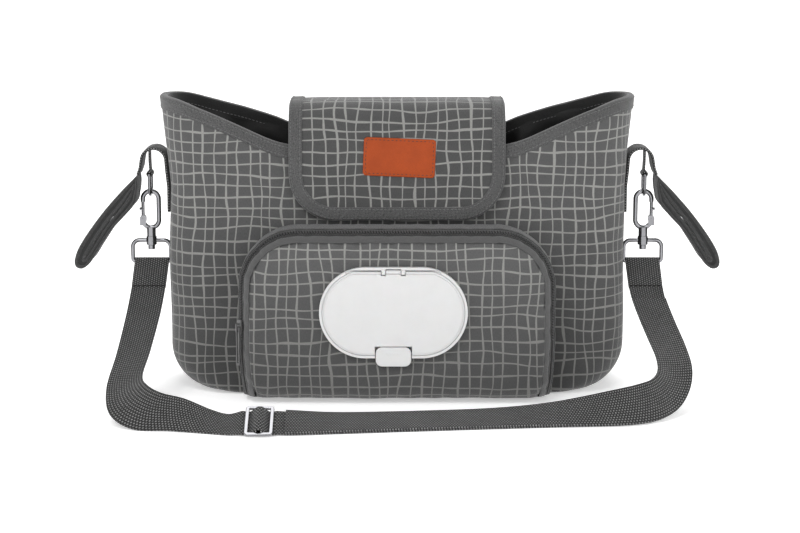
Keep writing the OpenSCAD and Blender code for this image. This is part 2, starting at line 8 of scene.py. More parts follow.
import bmesh
import bpy
import numpy as np
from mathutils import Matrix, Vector


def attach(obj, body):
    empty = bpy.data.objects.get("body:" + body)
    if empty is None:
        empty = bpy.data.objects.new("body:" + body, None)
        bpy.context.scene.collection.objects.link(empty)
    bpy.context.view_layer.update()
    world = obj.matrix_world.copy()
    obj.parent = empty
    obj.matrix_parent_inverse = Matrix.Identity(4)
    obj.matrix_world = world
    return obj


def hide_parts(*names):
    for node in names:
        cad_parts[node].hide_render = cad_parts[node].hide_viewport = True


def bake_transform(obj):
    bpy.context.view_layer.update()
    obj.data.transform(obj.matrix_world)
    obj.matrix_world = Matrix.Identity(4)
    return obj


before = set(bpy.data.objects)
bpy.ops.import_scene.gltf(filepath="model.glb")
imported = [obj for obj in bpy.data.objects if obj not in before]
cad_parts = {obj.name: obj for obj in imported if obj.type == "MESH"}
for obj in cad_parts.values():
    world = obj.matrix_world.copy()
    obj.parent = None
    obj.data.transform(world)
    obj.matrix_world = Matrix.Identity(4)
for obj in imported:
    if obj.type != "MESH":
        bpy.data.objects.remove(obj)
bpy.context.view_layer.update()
MM = 0.001
TURN = 2 * math.pi

# ---------------------------------------------------------------- camera, light and world


def aim(item, target):
    """Turn an object so that its -Z axis points at target."""
    item.rotation_euler = (Vector(target) - item.location).to_track_quat("-Z", "Y").to_euler()


def make_camera():
    """A long lens, a little above the bag and aimed at the middle of its front."""
    data = bpy.data.cameras.new("camera")
    data.lens = 98
    data.sensor_width = 36
    camera = bpy.data.objects.new("camera", data)
    camera.location = (0.0025, -1.882, 0.433)
    bpy.context.scene.collection.objects.link(camera)
    aim(camera, (0.0025, -0.06, 0.112))
    bpy.context.scene.camera = camera


def make_light(name, place, target, width, power):
    """A square white area light, width metres wide and power watts strong."""
    data = bpy.data.lights.new(name, "AREA")
    data.size = width
    data.energy = power
    light = bpy.data.objects.new(name, data)
    light.location = place
    bpy.context.scene.collection.objects.link(light)
    aim(light, target)


bpy.context.scene.view_settings.view_transform = "Standard"
make_camera()
make_light("key_light", (-0.8, -1.5, 2.0), (0, 0, 0.1), 1.2, 24)
make_light("fill_light", (1.4, -1.6, 1.1), (0, 0, 0.1), 1.3, 7)
make_light("back_light", (0.2, 1.0, 1.9), (0, 0.3, 0), 1.6, 26)

world = bpy.data.worlds.new("studio")
bpy.context.scene.world = world
world.use_nodes = True
world.node_tree.nodes["Background"].inputs["Color"].default_value = (1, 1, 1, 1)
world.node_tree.nodes["Background"].inputs["Strength"].default_value = 0.33

# ---------------------------------------------------------------- material nodes


class Net:
    """Adds nodes to one tree; an input is a plain value or another node's socket."""

    def __init__(self, tree):
        self.tree = tree

    def add(self, kind, inputs=None, **settings):
        """A new node with its settings and inputs."""
        node = self.tree.nodes.new(kind)
        for key, value in settings.items():
            setattr(node, key, value)
        for key, value in (inputs or {}).items():
            self.feed(node.inputs[key], value)
        return node

    def feed(self, socket, value):
        """Link a socket, or set a plain value."""
        if isinstance(value, bpy.types.NodeSocket):
            self.tree.links.new(value, socket)
        else:
            socket.default_value = value

    def math(self, operation, a, b=0.0):
        """One sum, such as MULTIPLY or SINE."""
        return self.add("ShaderNodeMath", {0: a, 1: b}, operation=operation).outputs[0]

    def blend(self, factor, dark, light):
        """dark at factor 0, light at factor 1."""
        node = self.add("ShaderNodeMix", {0: factor, 6: dark, 7: light}, data_type="RGBA")
        return node.outputs[2]

    def spread(self, value, low, high, to_low=0.0, to_high=1.0):
        """The stretch from low to high, laid over the stretch from to_low to to_high."""
        node = self.add("ShaderNodeMapRange", {0: value, 1: low, 2: high, 3: to_low, 4: to_high})
        return node.outputs[0]

    def noise(self, vector, scale, detail=2.0, rough=0.5):
        """Smooth noise with about scale lumps to a metre."""
        node = self.add("ShaderNodeTexNoise", {"Scale": scale, "Detail": detail, "Roughness": rough})
        self.feed(node.inputs["Vector"], vector)
        return node.outputs[0]


def shader_group(name, sockets_in, sockets_out):
    """A node group with named inputs (name, kind, value) and outputs (name, kind)."""
    tree = bpy.data.node_groups.new(name, "ShaderNodeTree")
    for title, kind, value in sockets_in:
        socket = tree.interface.new_socket(title, in_out="INPUT", socket_type="NodeSocket" + kind)
        if value is not None:
            socket.default_value = value
    for title, kind in sockets_out:
        tree.interface.new_socket(title, in_out="OUTPUT", socket_type="NodeSocket" + kind)
    net = Net(tree)
    return net, tree.nodes.new("NodeGroupInput").outputs, tree.nodes.new("NodeGroupOutput").inputs


def group_hand_drawn_grid():
    """Wavy lines, unevenly spaced both ways: edges of one-dimensional cells, shifted about by noise."""
    net, got, out = shader_group("hand_drawn_grid", [
        ("Place", "Vector", None), ("Spacing", "Float", 105.0), ("Width", "Float", 0.07),
        ("Wobble", "Float", 0.0042), ("Seed", "Float", 0.0)], [("Line", "Float")])
    split = net.add("ShaderNodeSeparateXYZ", {0: got["Place"]}).outputs
    lines = []
    for axis, other, shift in ((0, 1, 0.0), (1, 0, 7.3)):
        stretch = [1.0, 1.0, 1.0]
        stretch[axis], stretch[other] = 40.0, 14.0
        where = net.add("ShaderNodeVectorMath", {0: got["Place"], 1: (shift, shift, shift)}).outputs[0]
        drawn = net.add("ShaderNodeVectorMath", {0: where, 1: stretch}, operation="MULTIPLY").outputs[0]
        slow = net.math("SUBTRACT", net.noise(drawn, 1.0, 1.0), 0.5)
        quick = net.math("SUBTRACT", net.noise(drawn, 2.6, 1.0), 0.5)
        push = net.math("ADD", net.math("MULTIPLY", slow, 3.1), net.math("MULTIPLY", quick, 0.5))
        moved = net.math("ADD", split[axis], net.math("MULTIPLY", push, got["Wobble"]))
        reach = net.math("ADD", net.math("MULTIPLY", moved, got["Spacing"]), got["Seed"])
        cells = net.add("ShaderNodeTexVoronoi", {"Scale": 1.0, "Randomness": 0.62},
                        voronoi_dimensions="1D", feature="DISTANCE_TO_EDGE")
        net.feed(cells.inputs["W"], reach)
        wide = net.spread(net.noise(where, 60.0, 1.0), 0.3, 0.7, 0.75, 1.25)
        half = net.math("MULTIPLY", got["Width"], wide)
        away = net.math("SUBTRACT", half, cells.outputs["Distance"])
        lines.append(net.spread(away, -0.016, 0.016))
    net.feed(out["Line"], net.math("MAXIMUM", lines[0], lines[1]))
    return "hand_drawn_grid"


def group_threads():
    """Cross-woven threads: the product of two sines, with melange from noise; turned by 45 degrees, twill."""
    net, got, out = shader_group("threads", [
        ("Place", "Vector", None), ("Per Metre", "Float", 1800.0), ("Slant", "Float", 0.0)],
        [("Height", "Float"), ("Melange", "Float")])
    turned = net.add("ShaderNodeVectorRotate", {"Vector": got["Place"], "Angle": got["Slant"]},
                     rotation_type="Z_AXIS").outputs[0]
    split = net.add("ShaderNodeSeparateXYZ", {0: turned}).outputs
    waves = [net.math("SINE", net.math("MULTIPLY", net.math("MULTIPLY", split[k], got["Per Metre"]), TURN))
             for k in (0, 1)]
    product = net.math("MULTIPLY", waves[0], waves[1])
    net.feed(out["Height"], net.spread(product, -1, 1))
    streaks = net.add("ShaderNodeVectorMath", {0: turned, 1: (2600.0, 500.0, 1.0)},
                      operation="MULTIPLY").outputs[0]
    net.feed(out["Melange"], net.noise(streaks, 1.0, 3.0, 0.65))
    return "threads"


def group_webbing():
    """Heavy webbing: offset rows of short floats across the width; light specks show between the ribs."""
    net, got, out = shader_group("webbing_weave", [
        ("Place", "Vector", None), ("Rib", "Float", 430.0), ("Row", "Float", 500.0)],
        [("Height", "Float"), ("Speck", "Float"), ("Wear", "Float")])
    split = net.add("ShaderNodeSeparateXYZ", {0: got["Place"]}).outputs
    rib = net.math("MULTIPLY", split[0], got["Rib"])
    row = net.math("MULTIPLY", split[1], got["Row"])
    shifted = net.math("ADD", rib, net.math("MULTIPLY", net.math("FLOOR", row), 0.5))
    across = net.math("PINGPONG", row, 0.5)
    lengthwise = net.math("PINGPONG", shifted, 0.5)
    height = net.math("MULTIPLY", net.math("SQRT", net.math("MULTIPLY", across, 2.0)),
                      net.math("SQRT", net.math("MULTIPLY", lengthwise, 2.0)))
    net.feed(out["Height"], height)
    peak = net.math("MULTIPLY", net.spread(across, 0.14, 0.34), net.spread(lengthwise, 0.2, 0.36))
    uneven = net.spread(net.noise(got["Place"], 900.0, 2.0), 0.25, 0.5)
    net.feed(out["Speck"], net.math("MULTIPLY", peak, uneven))
    net.feed(out["Wear"], net.noise(got["Place"], 45.0, 4.0, 0.6))
    return "webbing_weave"


def group_grain():
    """Fine skin for leather and moulded parts: small cells with creases between, and slow colour drift."""
    net, got, out = shader_group("grain", [
        ("Place", "Vector", None), ("Cells", "Float", 900.0)],
        [("Height", "Float"), ("Drift", "Float"), ("Fine", "Float")])
    cells = net.add("ShaderNodeTexVoronoi", {"Scale": got["Cells"], "Randomness": 1.0},
                    feature="DISTANCE_TO_EDGE")
    net.feed(cells.inputs["Vector"], got["Place"])
    net.feed(out["Height"], net.spread(cells.outputs["Distance"], 0.0, 0.22))
    net.feed(out["Drift"], net.noise(got["Place"], 60.0, 5.0, 0.6))
    net.feed(out["Fine"], net.noise(got["Place"], 1400.0, 3.0, 0.6))
    return "grain"


GRID, THREADS, WEBBING, GRAIN = (make() for make in (
    group_hand_drawn_grid, group_threads, group_webbing, group_grain))


def srgb(*levels):
    """Screen levels from 0 to 255 as linear light."""
    shares = [level / 255 for level in (levels * 3 if len(levels) == 1 else levels)]
    return tuple(s / 12.92 if s <= 0.04045 else ((s + 0.055) / 1.055) ** 2.4 for s in shares) + (1.0,)


def start_material(name, rough=0.8, metallic=0.0, **constants):
    """A material with its shader; constants are the shader's own sockets, with spaces as underscores."""
    material = bpy.data.materials.new(name)
    material.use_nodes = True
    net = Net(material.node_tree)
    shader = material.node_tree.nodes["Principled BSDF"]
    shader.inputs["Roughness"].default_value = rough
    shader.inputs["Metallic"].default_value = metallic
    for key, value in constants.items():
        shader.inputs[key.replace("_", " ")].default_value = value
    return material, net, shader


def use_group(net, name, **values):
    """The outputs of a group set to these values, with spaces as underscores."""
    node = net.tree.nodes.new("ShaderNodeGroup")
    node.node_tree = bpy.data.node_groups[name]
    for key, value in values.items():
        net.feed(node.inputs[key.replace("_", " ")], value)
    return node.outputs


def surface_place(net, mesh_map=True):
    """The place on the cloth in metres, or the place in the room for hard pieces, which have no map."""
    if mesh_map:
        return net.add("ShaderNodeUVMap", uv_map="UVMap").outputs[0]
    return net.add("ShaderNodeTexCoord").outputs["Object"]


def bump(net, shader, height, strength, depth):
    """Relief: height 1 stands depth metres out."""
    node = net.add("ShaderNodeBump", {"Strength": strength, "Distance": depth, "Height": height})
    net.feed(shader.inputs["Normal"], node.outputs[0])


def cloth(name, base, light=None, line=None, per_metre=1700.0, slant=0.0, rough=0.85, depth=0.00012,
          fuzz=0.25, seed=0.0, contrast=0.16, foot=1.0):
    """Woven cloth: threads, melange and slow fading; line adds the printed wavy grid.
    foot below 1 paints shade into the cloth, darker towards the floor: from foot at 0 to 1 at 0.17 m."""
    material, net, shader = start_material(name, rough, Sheen_Weight=fuzz, Sheen_Roughness=0.5,
                                           Specular_IOR_Level=0.25)
    place = surface_place(net)
    weave = use_group(net, THREADS, Place=place, Per_Metre=per_metre, Slant=slant)
    light = light or tuple(min(1.0, c * (1 + 2 * contrast)) for c in base[:3]) + (1.0,)
    low = tuple(c * (1 - contrast) for c in base[:3]) + (1.0,)
    colour = net.blend(net.spread(weave["Melange"], 0.3, 0.7), low, light)
    fade = net.noise(place, 14.0, 3.0)
    colour = net.blend(net.spread(fade, 0.3, 0.7, 0.0, 0.3), colour, low)
    height = weave["Height"]
    if line:
        print_line = use_group(net, GRID, Place=place, Seed=seed)["Line"]
        broken = net.spread(net.noise(place, 900.0, 2.0), 0.25, 0.6, 0.78, 1.0)
        colour = net.blend(net.math("MULTIPLY", print_line, broken), colour, line)
        height = net.math("ADD", height, net.math("MULTIPLY", print_line, 0.35))
    # painted shade: the colour is darkened towards black near the floor, by foot at z = 0 and not at all from
    # 0.17 m up
    if foot < 1:
        up = net.add("ShaderNodeSeparateXYZ", {0: net.add("ShaderNodeTexCoord").outputs["Object"]}).outputs[2]
        colour = net.blend(net.spread(up, 0.0, 0.17, 1.0 - foot, 0.0), colour, (0, 0, 0, 1))
    net.feed(shader.inputs["Base Color"], colour)
    net.feed(shader.inputs["Roughness"], net.spread(weave["Height"], 0.0, 1.0, rough + 0.06, rough - 0.08))
    bump(net, shader, height, 0.6, depth)
    return material


def webbing(name, base, speck):
    """Strap webbing: dark between the ribs, light specks on them, and worn patches."""
    material, net, shader = start_material(name, 0.75, Sheen_Weight=0.15, Specular_IOR_Level=0.3)
    weave = use_group(net, WEBBING, Place=surface_place(net))
    dark = tuple(c * 0.35 for c in base[:3]) + (1.0,)
    colour = net.blend(net.spread(weave["Height"], 0.1, 0.75), dark, base)
    colour = net.blend(weave["Speck"], colour, speck)
    colour = net.blend(net.spread(weave["Wear"], 0.35, 0.75, 0.0, 0.25), colour, dark)
    net.feed(shader.inputs["Base Color"], colour)
    bump(net, shader, weave["Height"], 0.8, 0.0004)
    return material


def moulded(name, base, rough=0.35, drift=0.05, coat=0.0, cells=900.0, depth=0.00002, metallic=0.0,
            creases=0.0, fine=0.4, **constants):
    """Plastic, leather or metal: slow colour drift, fine skin in the roughness, and cells in the bump."""
    material, net, shader = start_material(name, rough, metallic, Coat_Weight=coat, **constants)
    place = surface_place(net, mesh_map=False)
    skin = use_group(net, GRAIN, Place=place, Cells=cells)
    low = tuple(c * (1 - 2 * drift) for c in base[:3]) + (1.0,)
    high = tuple(min(1.0, c * (1 + 2 * drift)) for c in base[:3]) + (1.0,)
    colour = net.blend(net.spread(skin["Drift"], 0.35, 0.65), low, high)
    if creases:
        dark = tuple(c * (1 - creases) for c in base[:3]) + (1.0,)
        colour = net.blend(skin["Height"], dark, colour)
    net.feed(shader.inputs["Base Color"], colour)
    net.feed(shader.inputs["Roughness"],
             net.spread(skin["Fine"], 0.3, 0.7, rough * (1 - fine * 0.5), rough * (1 + fine * 0.5)))
    bump(net, shader, skin["Height"] if creases else skin["Fine"], 0.5, depth)
    return material


FABRIC, LINE = srgb(75), srgb(138, 138, 135)
MAT = {
    # foot paints shade on the walls and the pocket face, darker towards the floor
    "print_front": cloth("printed_cloth_front", FABRIC, line=LINE, seed=0.0, foot=0.6),
    "print_back": cloth("printed_cloth_back", FABRIC, line=LINE, seed=31.7, foot=0.6),
    # the flap's printed cloth is a darker copy of the front's: painted shade
    "print_flap_shaded": cloth("printed_cloth_flap_shaded", srgb(66), line=srgb(134, 134, 131), seed=64.2),
    # the pocket's printed cloth is a lighter copy of the front's: painted light
    "print_pocket_lit": cloth("printed_cloth_pocket_lit", srgb(84), line=srgb(142, 142, 139), seed=97.4, foot=0.5),
    "plain": cloth("plain_cloth", srgb(60)),
    "band": cloth("band_cloth", srgb(74), contrast=0.1),
    "twill": cloth("binding_twill", srgb(42), srgb(108), per_metre=520.0, slant=0.785, depth=0.0004,
                   contrast=0.3),
    # a near-black twill for the rim tape's inner face: painted shade inside the rim
    "twill_inner_shade": cloth("inner_binding_twill_shade", srgb(30), srgb(48), per_metre=620.0, slant=0.785, depth=0.0003,
                        contrast=0.3),
    "satin": cloth("lining_satin", srgb(22), srgb(34), per_metre=2600.0, rough=0.34, depth=0.00004,
                   fuzz=0.05),
    "webbing": webbing("strap_webbing", srgb(36), srgb(132)),
    "pad": cloth("pad_cloth", srgb(56), per_metre=900.0, depth=0.0003),
    "pad_edge": cloth("pad_edge_twill", srgb(34), srgb(78), per_metre=520.0, slant=0.785, depth=0.0003,
                      contrast=0.3),
    "tape": cloth("zip_tape_cloth", srgb(40), per_metre=1100.0, depth=0.0002),
    "hook_tape": cloth("hook_tape_cloth", srgb(26), per_metre=700.0, depth=0.0005, fuzz=0.6),
    "thread": moulded("sewing_thread", srgb(96), 0.7, cells=3000.0),
    "thread_dark": moulded("dark_sewing_thread", srgb(34), 0.7, cells=3000.0),
    "leather": moulded("tan_leather", srgb(160, 66, 20), 0.6, 0.07, cells=1500.0, depth=0.00012, creases=0.22,
                       Specular_IOR_Level=0.25),
    "white": moulded("white_plastic", srgb(201), 0.38, 0.008, cells=2600.0, depth=0.000006,
                     Subsurface_Weight=0.08, Subsurface_Scale=0.002),
    "seal": moulded("soft_seal", srgb(180), 0.6, 0.02, cells=2600.0),
    "chrome": moulded("plated_metal", srgb(138, 138, 141), 0.12, 0.02, cells=1800.0, depth=0.000004,
                      metallic=1.0,
                      fine=0.8),
    "steel": moulded("steel_pin", srgb(130, 130, 132), 0.3, 0.03, cells=1800.0, metallic=1.0),
    "painted": moulded("painted_metal", srgb(84), 0.38, 0.05, cells=1800.0, coat=0.3, metallic=0.5),
    "teeth": moulded("zip_teeth", srgb(66), 0.42, 0.05, cells=1800.0, metallic=0.2),
    "floor": moulded("studio_floor", srgb(250), 0.85, 0.004, cells=40.0, depth=0.000002,
                     Specular_IOR_Level=0.0,
                     Emission_Color=(1, 1, 1, 1), Emission_Strength=0.4),
}

# ---------------------------------------------------------------- mesh helpers
# a patch is (points, [faces by number of sides], [map corners of those faces]), all in millimetres


def path_lengths(points):
    """Distance walked along a line of points, starting at 0."""
    steps = np.linalg.norm(np.diff(points, axis=0), axis=1)
    return np.concatenate([[0.0], np.cumsum(steps)])


def read_off(marks, walked, values):
    """Each column of values, read off at the marks along the distance walked."""
    return np.stack([np.interp(marks, walked, column) for column in values.T], 1)


def resample(points, pitch):
    """The same line with points about a pitch apart: each coordinate is read off against distance walked."""
    walked = path_lengths(points)
    count = max(2, int(round(walked[-1] / pitch)) + 1)
    return read_off(np.linspace(0, walked[-1], count), walked, points)


def round_again(line):
    """A closed line with its first point put once more at its end."""
    return np.concatenate([line, line[:1]])


def map_table(along, across):
    """Map places for a table of points: distance along by distance across."""
    return np.stack(np.meshgrid(along, across, indexing="ij"), -1)


def spline(points, per_span=8):
    """A smooth line through points: the Catmull-Rom cubic on each span."""
    p = np.asarray(points, float)
    before = np.concatenate([p[:1], p[:-2]])
    after = np.concatenate([p[2:], p[-1:]])
    u = (np.arange(per_span) / per_span)[None, :, None]
    a, b, c, d = (q[:, None, :] for q in (before, p[:-1], p[1:], after))
    curve = 0.5 * (2 * b + (c - a) * u + (2 * a - 5 * b + 4 * c - d) * u ** 2
                   + (3 * b - a - 3 * c + d) * u ** 3)
    return np.concatenate([curve.reshape(-1, p.shape[1]), p[-1:]])


def unit(v):
    """The same directions, one long."""
    return v / np.maximum(np.linalg.norm(v, axis=-1, keepdims=True), 1e-9)


def tangents(points, closed=False):
    """Direction along a line at each point, from the points on either side."""
    if closed:
        return unit(np.roll(points, -1, 0) - np.roll(points, 1, 0))
    return unit(np.gradient(points, axis=0))


def grid(P, uv=None, wrap_i=False, wrap_j=False, flip=False):
    """Four-sided faces over a table of points P[i, j]; wrap joins the last row or column to the first.
    Without uv the map is the distance walked along the middle row and column."""
    n, m = P.shape[:2]
    if uv is None:
        col = P[:, m // 2]
        row = P[n // 2]
        a = path_lengths(round_again(col) if wrap_i else col)
        b = path_lengths(round_again(row) if wrap_j else row)
        uv = map_table(a, b)
    i, j = np.meshgrid(np.arange(n if wrap_i else n - 1), np.arange(m if wrap_j else m - 1), indexing="ij")
    corners = [(i, j), (i + 1, j), (i + 1, j + 1), (i, j + 1)]
    if flip:
        corners = corners[::-1]
    faces = np.stack([(r % n) * m + c % m for r, c in corners], -1).reshape(-1, 4)
    maps = np.stack([uv[r, c] for r, c in corners], -2).reshape(-1, 4, 2)
    return P.reshape(-1, 3), [faces], [maps]


def fan(ring, flip=False):
    """Triangles from a closed ring of points to its middle."""
    m = len(ring)
    k = np.arange(m)
    faces = np.stack([k, (k + 1) % m, np.full(m, m)], -1)
    if flip:
        faces = faces[:, ::-1]
    return np.concatenate([ring, ring.mean(0)[None]]), [faces], [np.zeros((m, 3, 2))]


def join(*patches):
    """Several patches as one, their faces counted on."""
    points, faces, maps, base = [], [], [], 0
    for p, f, u in patches:
        points.append(p)
        faces += [face + base for face in f]
        maps += u
        base += len(p)
    return np.concatenate(points), faces, maps


def mirrored(patch):
    """The same patch on the other side, its faces turned over so that they still point outwards."""
    p, f, u = patch
    return p * np.array([-1, 1, 1]), [face[:, ::-1] for face in f], [m[:, ::-1] for m in u]


def make_piece(name, patch, material, body="bag", slot=None, stands_for=(), wall=0.0, outward=False,
               bodies=None, line=None):
    """Put a patch into a mesh, weld it, and let it ride; wall is a thickness given inwards from the faces.
    With bodies it is left unattached instead, its place baked into its mesh. line is not used."""
    points, faces, maps = patch
    mesh = bpy.data.meshes.new(name)
    mesh.from_pydata((points * MM).tolist(), [], [row for f in faces for row in f.tolist()])
    layer = mesh.uv_layers.new(name="UVMap")
    layer.data.foreach_set("uv", np.concatenate([m.reshape(-1) for m in maps]) * MM)
    work = bmesh.new()
    work.from_mesh(mesh)
    bmesh.ops.remove_doubles(work, verts=work.verts, dist=2e-6)
    bmesh.ops.dissolve_degenerate(work, edges=work.edges, dist=1e-6)
    if outward:
        bmesh.ops.recalc_face_normals(work, faces=work.faces)
    work.to_mesh(mesh)
    work.free()
    return finish_piece(name, mesh, material, body, stands_for, 50, wall, bodies)


def finish_piece(name, mesh, material, body, stands_for, smooth, wall=0.0, bodies=None):
    """Shade a mesh, sharp past smooth degrees, give it its material and wall, and let it ride, or with bodies
    bake its place into its mesh.
    """
    mesh.shade_smooth()
    mesh.set_sharp_from_angle(angle=math.radians(smooth))
    mesh.materials.clear()
    mesh.materials.append(MAT[material])
    item = bpy.data.objects.new(name, mesh)
    bpy.context.scene.collection.objects.link(item)
    if wall:
        shell = item.modifiers.new("wall", "SOLIDIFY")
        shell.thickness = wall * MM
        shell.offset = -1
    if bodies:
        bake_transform(item)
    else:
        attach(item, body)
    if stands_for:
        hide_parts(*stands_for)
    return item


def sweep(path, side, up, profile, closed_path=False, uv=None):
    """Carry a closed profile (side, up) along a path; the ends are closed with fans."""
    P = path[:, None] + side[:, None] * profile[None, :, :1] + up[:, None] * profile[None, :, 1:]
    body = grid(P, uv, wrap_i=closed_path, wrap_j=True)
    if closed_path:
        return body
    return join(body, fan(P[0]), fan(P[-1], flip=True))


def slab(front, rear, uv):
    """A closed sheet from a front and a rear table of points and the four edges between them."""
    sides = [np.stack(pair, 1) for pair in ((front[:, 0], rear[:, 0]), (front[:, -1], rear[:, -1]),
                                            (front[0], rear[0]), (front[-1], rear[-1]))]
    return join(grid(front, uv, flip=True), grid(rear, uv), *(grid(side) for side in sides))


def rounded_box_profile(half_w, half_t, corner, steps=3):
    """A closed oblong with rounded corners, walked anticlockwise."""
    a = np.linspace(0, math.pi / 2, steps + 1)
    parts = []
    for k, (sx, sy) in enumerate(((1, 1), (-1, 1), (-1, -1), (1, -1))):
        t = a + k * math.pi / 2
        parts.append(np.stack([sx * (half_w - corner) + corner * np.cos(t),
                               sy * (half_t - corner) + corner * np.sin(t)], 1))
    return np.concatenate(parts)


def tube(path, r, reference=(0, 1, 0), sides=10, closed_path=False):
    """A round rod along a path; side is the path's direction crossed with a reference direction."""
    along = tangents(path, closed_path)
    side = unit(np.cross(along, np.broadcast_to(np.array(reference, float), along.shape)))
    up = np.cross(side, along)
    t = np.arange(sides) / sides * TURN
    return sweep(path, side, -up, np.stack([r * np.cos(t), r * np.sin(t)], 1), closed_path)


def stitches(path, up, length=2.3, gap=1.0, r=0.3):
    """Separate stitches along a path: one small five-sided spindle, turned to the path at even steps."""
    walked = path_lengths(path)
    count = max(1, int(walked[-1] / (length + gap)))
    marks = (np.arange(count) + 0.5) * walked[-1] / count
    place = read_off(marks, walked, path)
    lift = unit(read_off(marks, walked, up))
    way = unit(read_off(marks, walked, tangents(path)))
    side = unit(np.cross(way, lift))
    ends = np.array([-0.5, -0.3, 0.3, 0.5]) * length
    size = np.array([0.35, 1.0, 1.0, 0.35]) * r
    rows, cols = len(ends), 5
    t = np.arange(cols) / cols * TURN
    P = (place[:, None, None] + way[:, None, None] * ends[None, :, None, None]
         + side[:, None, None] * (size[None, :, None, None] * np.cos(t)[None, None, :, None])
         + lift[:, None, None] * (size[None, :, None, None] * np.sin(t)[None, None, :, None]))
    i, j = np.meshgrid(np.arange(rows - 1), np.arange(cols), indexing="ij")
    after = (j + 1) % cols
    corners = (i * cols + j, i * cols + after, (i + 1) * cols + after, (i + 1) * cols + j)
    quads = np.stack(corners, -1).reshape(-1, 4)
    base = (np.arange(count) * rows * cols)[:, None, None]
    body = (quads[None] + base).reshape(-1, 4)
    lids = np.stack([np.arange(cols)[::-1], np.arange(cols) + (rows - 1) * cols])
    lids = (lids[None] + base).reshape(-1, cols)
    maps = [np.zeros(f.shape + (2,)) for f in (body, lids)]
    return P.reshape(-1, 3), [body[:, ::-1], lids[:, ::-1]], maps


def softened(node, name, material, body, rounds=0.35, smooth=35, swell=0.0):
    """A welded copy of a hard node with its flat faces rebuilt and its edges rounded."""
    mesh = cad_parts[node].data.copy()
    mesh.name = name
    work = bmesh.new()
    work.from_mesh(mesh)
    bmesh.ops.remove_doubles(work, verts=work.verts, dist=2e-6)
    bmesh.ops.dissolve_limit(work, angle_limit=math.radians(1.5), verts=work.verts, edges=work.edges)
    if swell:
        ways = [v.normal.copy() for v in work.verts]
        for v, way in zip(work.verts, ways):
            v.co += way * (swell * MM)
    work.to_mesh(mesh)
    work.free()
    while mesh.uv_layers:
        mesh.uv_layers.remove(mesh.uv_layers[0])
    mesh.uv_layers.new(name="UVMap")
    item = finish_piece(name, mesh, material, body, (node,), smooth)
    edge = item.modifiers.new("rounds", "BEVEL")
    edge.width = rounds * MM
    edge.segments = 2
    edge.limit_method = "ANGLE"
    edge.angle_limit = math.radians(38)
    edge.harden_normals = False
    return item


# ---------------------------------------------------------------- straps, first
# the two edge lines of each run, from the hooks to the adjuster, in millimetres

WEB_W, WEB_T = 30.0, 1.5
SWELL = 0.12
LEFT_A = [(-229.7, -25.8, 90.1), (-231, -58, 71), (-234, -106, 46), (-238, -143, 25), (-232, -170, 9.5),
          (-212, -184, 1), (-183, -188, 0.8), (-152, -196, 0.8), (-135, -201, 1), (-124.6, -202.4, 1.5),
          (-121, -202.2, 1.2), (-112.6, -202.2, 1.2)]
LEFT_B = [(-200.3, -25.8, 90.1), (-202, -58, 71), (-206, -102, 48), (-209, -134, 34.5), (-203, -155, 31),
          (-190, -168, 27.5), (-171, -171.5, 23.5), (-150, -170.5, 14), (-136, -173, 10.8),
          (-124.6, -175.8, 13.9), (-121, -175.6, 13.4), (-112.6, -175.6, 13.4)]
RIGHT_A = [(-107.4, -202.2, 1.2), (-99, -202.2, 1.2), (-95.4, -202.4, 1.5), (-80, -201, 1), (-46, -196, 0.8),
           (15, -188, 0.8), (81, -180, 0.8), (130, -175, 0.8), (184, -170, 0.8), (212, -157, 1.4),
           (230, -138, 6), (241, -124, 18), (245, -112, 33), (242, -94, 48), (236, -70, 64), (231, -44, 79.5),
           (229.7, -25.8, 90.1)]
RIGHT_B = [(-107.4, -175.6, 13.4), (-99, -175.6, 13.4), (-95.4, -175.8, 13.9), (-80, -173.4, 12.2),
           (-46, -168.2, 9.4), (15, -159.8, 8.4), (81, -151.6, 9), (130, -148.8, 14), (176, -149.5, 24.5),
           (196, -145, 28.5), (209, -138, 32), (215, -127, 37), (215, -112, 45), (211, -92, 55),
           (206, -68, 67.5), (202, -44, 79.8), (200.3, -25.8, 90.1)]


def ribbon(edge_a, edge_b, offset, trim):
    """Webbing between two edge lines: a flat oval profile with thicker edges, carried along the middle."""
    a, b = spline(edge_a), spline(edge_b)
    centre = (a + b) / 2
    across = b - a
    half = np.linalg.norm(across, axis=1) / 2
    up = unit(np.cross(tangents(centre), across))
    side = unit(across)
    centre = centre + up * offset
    keep = slice(trim[0], len(centre) - trim[1])
    centre, half, up, side = (v[keep] for v in (centre, half, up, side))
    c = np.array([-1, -0.985, -0.93, -0.86, -0.5, 0, 0.5, 0.86, 0.93, 0.985, 1])
    t = np.array([0.3, 0.8, 1, 0.86, 0.84, 0.84, 0.84, 0.86, 1, 0.8, 0.3]) * (WEB_T / 2 + SWELL)
    profile = np.concatenate([np.stack([c, t], 1), np.stack([c[::-1], -t[::-1]], 1)])
    P = (centre[:, None] + side[:, None] * (profile[None, :, :1] * half[:, None, None])
         + up[:, None] * profile[None, :, 1:])
    uv = map_table(path_lengths(centre), round_again(profile[:, 0]) * WEB_W / 2)
    return join(grid(P, uv, wrap_j=True, flip=True), fan(P[0], flip=True), fan(P[-1])), centre


def make_strap(name, a, b, node, swing=None, offset=0.0, trim=(0, 0)):
    """One run of the shoulder strap; with a swing, it is left unattached with its place baked into its mesh,
    and the point 90 mm along is passed on as line, which is not used.
    """
    patch, centre = ribbon(a, b, offset, trim)
    centre = centre[::-1]
    near = tuple(centre[0] * MM)
    ends = {}
    if swing:
        walked = path_lengths(centre)
        low = centre[np.argmin(np.abs(walked - 90))]
        ends = {"bodies": ("bag", swing), "line": (tuple(low * MM), near)}
    item = make_piece(name, patch, "webbing", slot="webbing", stands_for=(node,), outward=True, **ends)


# ---------------------------------------------------------------- the body's shape

